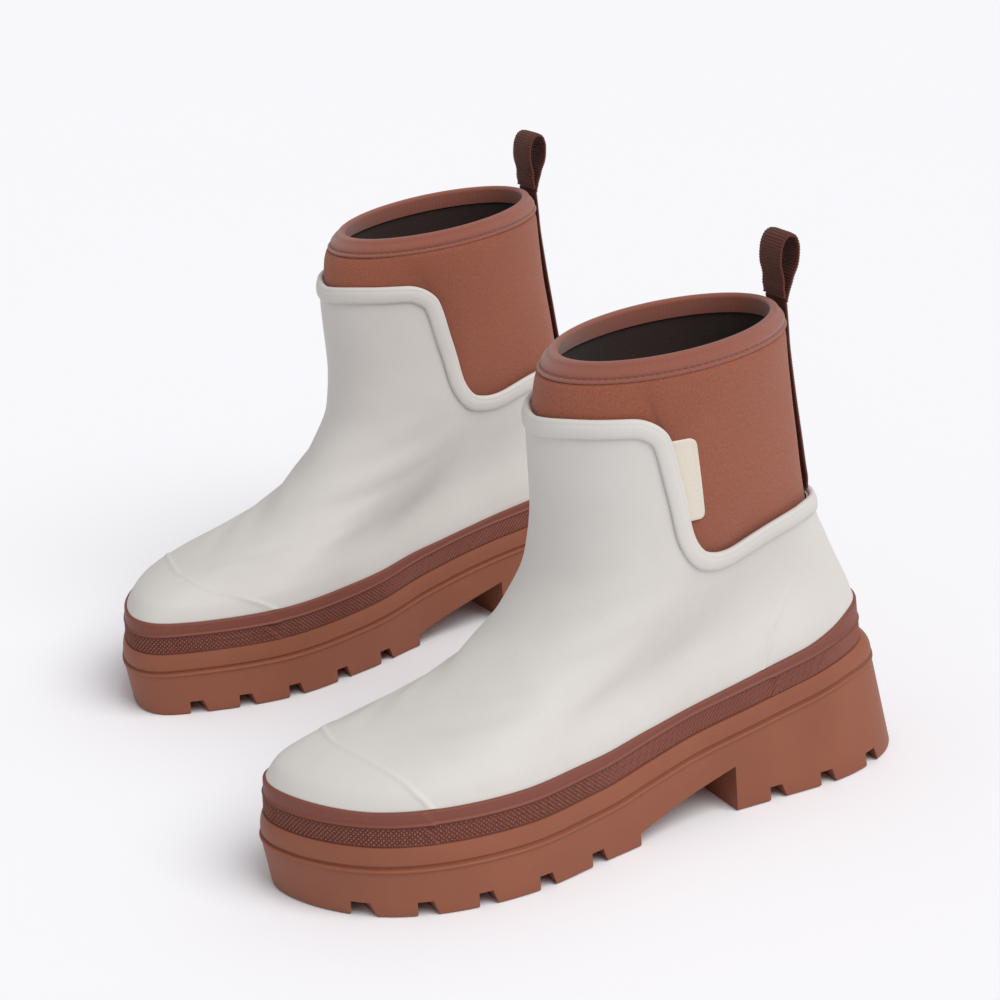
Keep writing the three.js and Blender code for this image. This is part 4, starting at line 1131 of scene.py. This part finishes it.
loop_line, loop_way = smooth_line(LOOP_LINE, LOOP_ROWS)
loop_rings = []
loop_normals = unit(np.gradient(loop_line, axis=0))
for step, ((back, up), (run_back, run_up)) in enumerate(zip(loop_line, loop_normals)):
    lean = LOOP_LEAN * eased(0, STRAIGHT_FOOT, up)
    cos, sin = math.cos(lean), math.sin(lean)
    x = pinch[0] - (back * cos + up * sin)
    z = PINCH_RISE + up * cos - back * sin
    normal = np.array([-(run_up * cos + run_back * -sin), 0, -(run_back * cos + run_up * sin)])
    normal = normal / np.linalg.norm(normal)
    spot = np.column_stack([x + 0 * spread, SHAFT_SIDE - spread * WEBBING_WIDTH / 2, z + 0 * spread])
    loop_rings.append(webbing_ring(spot, normal, 0, step / (LOOP_ROWS - 1) * loop_way))
loop = raw_mesh("loop_blank", *skin(loop_rings, caps=True))
face_out(loop)
pair("pull_tab", loop, webbing, "pull_loop", 60, "loop")

# ---------- Bartack ----------
# A dense bar of zigzag stitching across the webbing, just below the pinch.
TACK_ROWS, TACK_STITCHES = (.955, .975), 14
TACK_LENGTH, TACK_THICK, TACK_SPREAD, TACK_RISE, TACK_LEAN = 2.4, .6, .86, .12, .5
TACK_LOW, TACK_HIGH = (.06, .022, .016), (.14, .05, .036)
tack_points, tack_out, tack_way = [], [], []
for row, level_share in enumerate(TACK_ROWS):
    level = mix(SPINE_FOOT, TOP_LEVEL, level_share)
    for i in range(TACK_STITCHES):
        spot = np.array([mix(-TACK_SPREAD, TACK_SPREAD, (i + .5) / TACK_STITCHES) * webbing_half])
        normal = last_normal(spot, level)[0]
        lift = np.array([spine_top + WEBBING_WALL + TACK_RISE])
        tack_points.append(off_last(spot, level, lift)[0])
        tack_out.append(normal)
        lean = TACK_LEAN if (i + row) % 2 else -TACK_LEAN
        tack_way.append(unit(np.array([0, math.sin(lean), math.cos(lean)])))
tack = thread_run(tack_points, tack_out, tack_way, TACK_LENGTH, TACK_THICK)
tack_thread = finish("bartack_thread", paint_thread(TACK_LOW, TACK_HIGH), Sheen_Weight=.2)
pair("bartack_stitches", tack, tack_thread, "loop_bartack", 60)

# ---------- Side label ----------
# A blank woven tab on the outer side, caught under the binding's rear edge, with rounded
# free corners and a sewn border.
LABEL_LENGTH, LABEL_REACH, LABEL_WALL, LABEL_ROUND = 36.0, 11.0, .8, 3.0
LABEL_TURN, LABEL_LEAN, LABEL_CLEAR, LABEL_UNDER = .32, .1, 1.2, 1.5
LABEL_COLUMNS, LABEL_ROWS, SIDE_STEPS = 40, 28, 14
WELT_RISE, WELT_PLACE, WELT_WIDTH = .14, .9, .4
LABEL_LOW, LABEL_HIGH = (.68, .61, .51), (.80, .74, .64)


def on_side(x, z, out):
    """The point of the last's outer side that has a given x and z, moved outwards."""
    turn, level = np.full(x.shape, .25), np.full(x.shape, 9.0)
    for _ in range(SIDE_STEPS):
        here = last_point(turn, level)
        turn = turn + (x - here[..., 0]) / ((last_point(turn + .01, level) - here)[..., 0] / .01)
        level = level + (z - here[..., 2]) / ((last_point(turn, level + .1) - here)[..., 2] / .1)
        level = np.clip(level, 1, TOP_LEVEL - .2)
    return off_last(turn, level, out)


label_centre = edge_frame(np.array([LABEL_TURN]))[0][0]
edge_points = edge_frame(np.linspace(.26, .36, 25))[0]
edge_line = sorted((point[2], point[0]) for point in edge_points)
label_rings = []
for reach in np.linspace(0, 1, LABEL_ROWS):
    corner = max(0, reach * LABEL_REACH - (LABEL_REACH - LABEL_ROUND))
    trim = LABEL_ROUND - math.sqrt(max(0, LABEL_ROUND ** 2 - corner ** 2))
    up = np.linspace(-LABEL_LENGTH / 2 + trim, LABEL_LENGTH / 2 - trim, LABEL_COLUMNS)
    front = along(edge_line, label_centre[2] + up) - LABEL_CLEAR + LABEL_UNDER
    rear = label_centre[0] + up * LABEL_LEAN - LABEL_REACH
    x, z = mix(front, rear, reach), label_centre[2] + up
    rim = np.minimum((1 - reach) * LABEL_REACH, LABEL_LENGTH / 2 - trim - np.abs(up))
    welt = (WELT_RISE * np.exp(-((rim - WELT_PLACE) / WELT_WIDTH) ** 2)
            - .2 * np.exp(-(rim / .35) ** 2))
    rest = sock_face(TOP_LEVEL) + .55 + .5 * reach ** 2
    label_rings.append(np.concatenate([on_side(x, z, rest + LABEL_WALL + welt),
                                       on_side(x, z, rest + 0 * x)[::-1]]))
label = raw_mesh("label_blank", *skin(label_rings, caps=True))
face_out(label)


def paint_label(wire):
    weave = cloth_place(wire)
    warp = wire.node("TexWave", {"bands_direction": "X"}, {"Vector": weave, "Scale": .62})
    weft = wire.node("TexWave", {"bands_direction": "Y"}, {"Vector": weave, "Scale": .62})
    tone = noise(wire, weave, .8)
    crossing = warp * weft
    return (tone * .6 + crossing * .4).colours(LABEL_LOW, LABEL_HIGH), .6, crossing * .08


label_cloth = finish("woven_label", paint_label, Sheen_Weight=.15)
pair("blank_label", label, label_cloth, "side_label", 40)
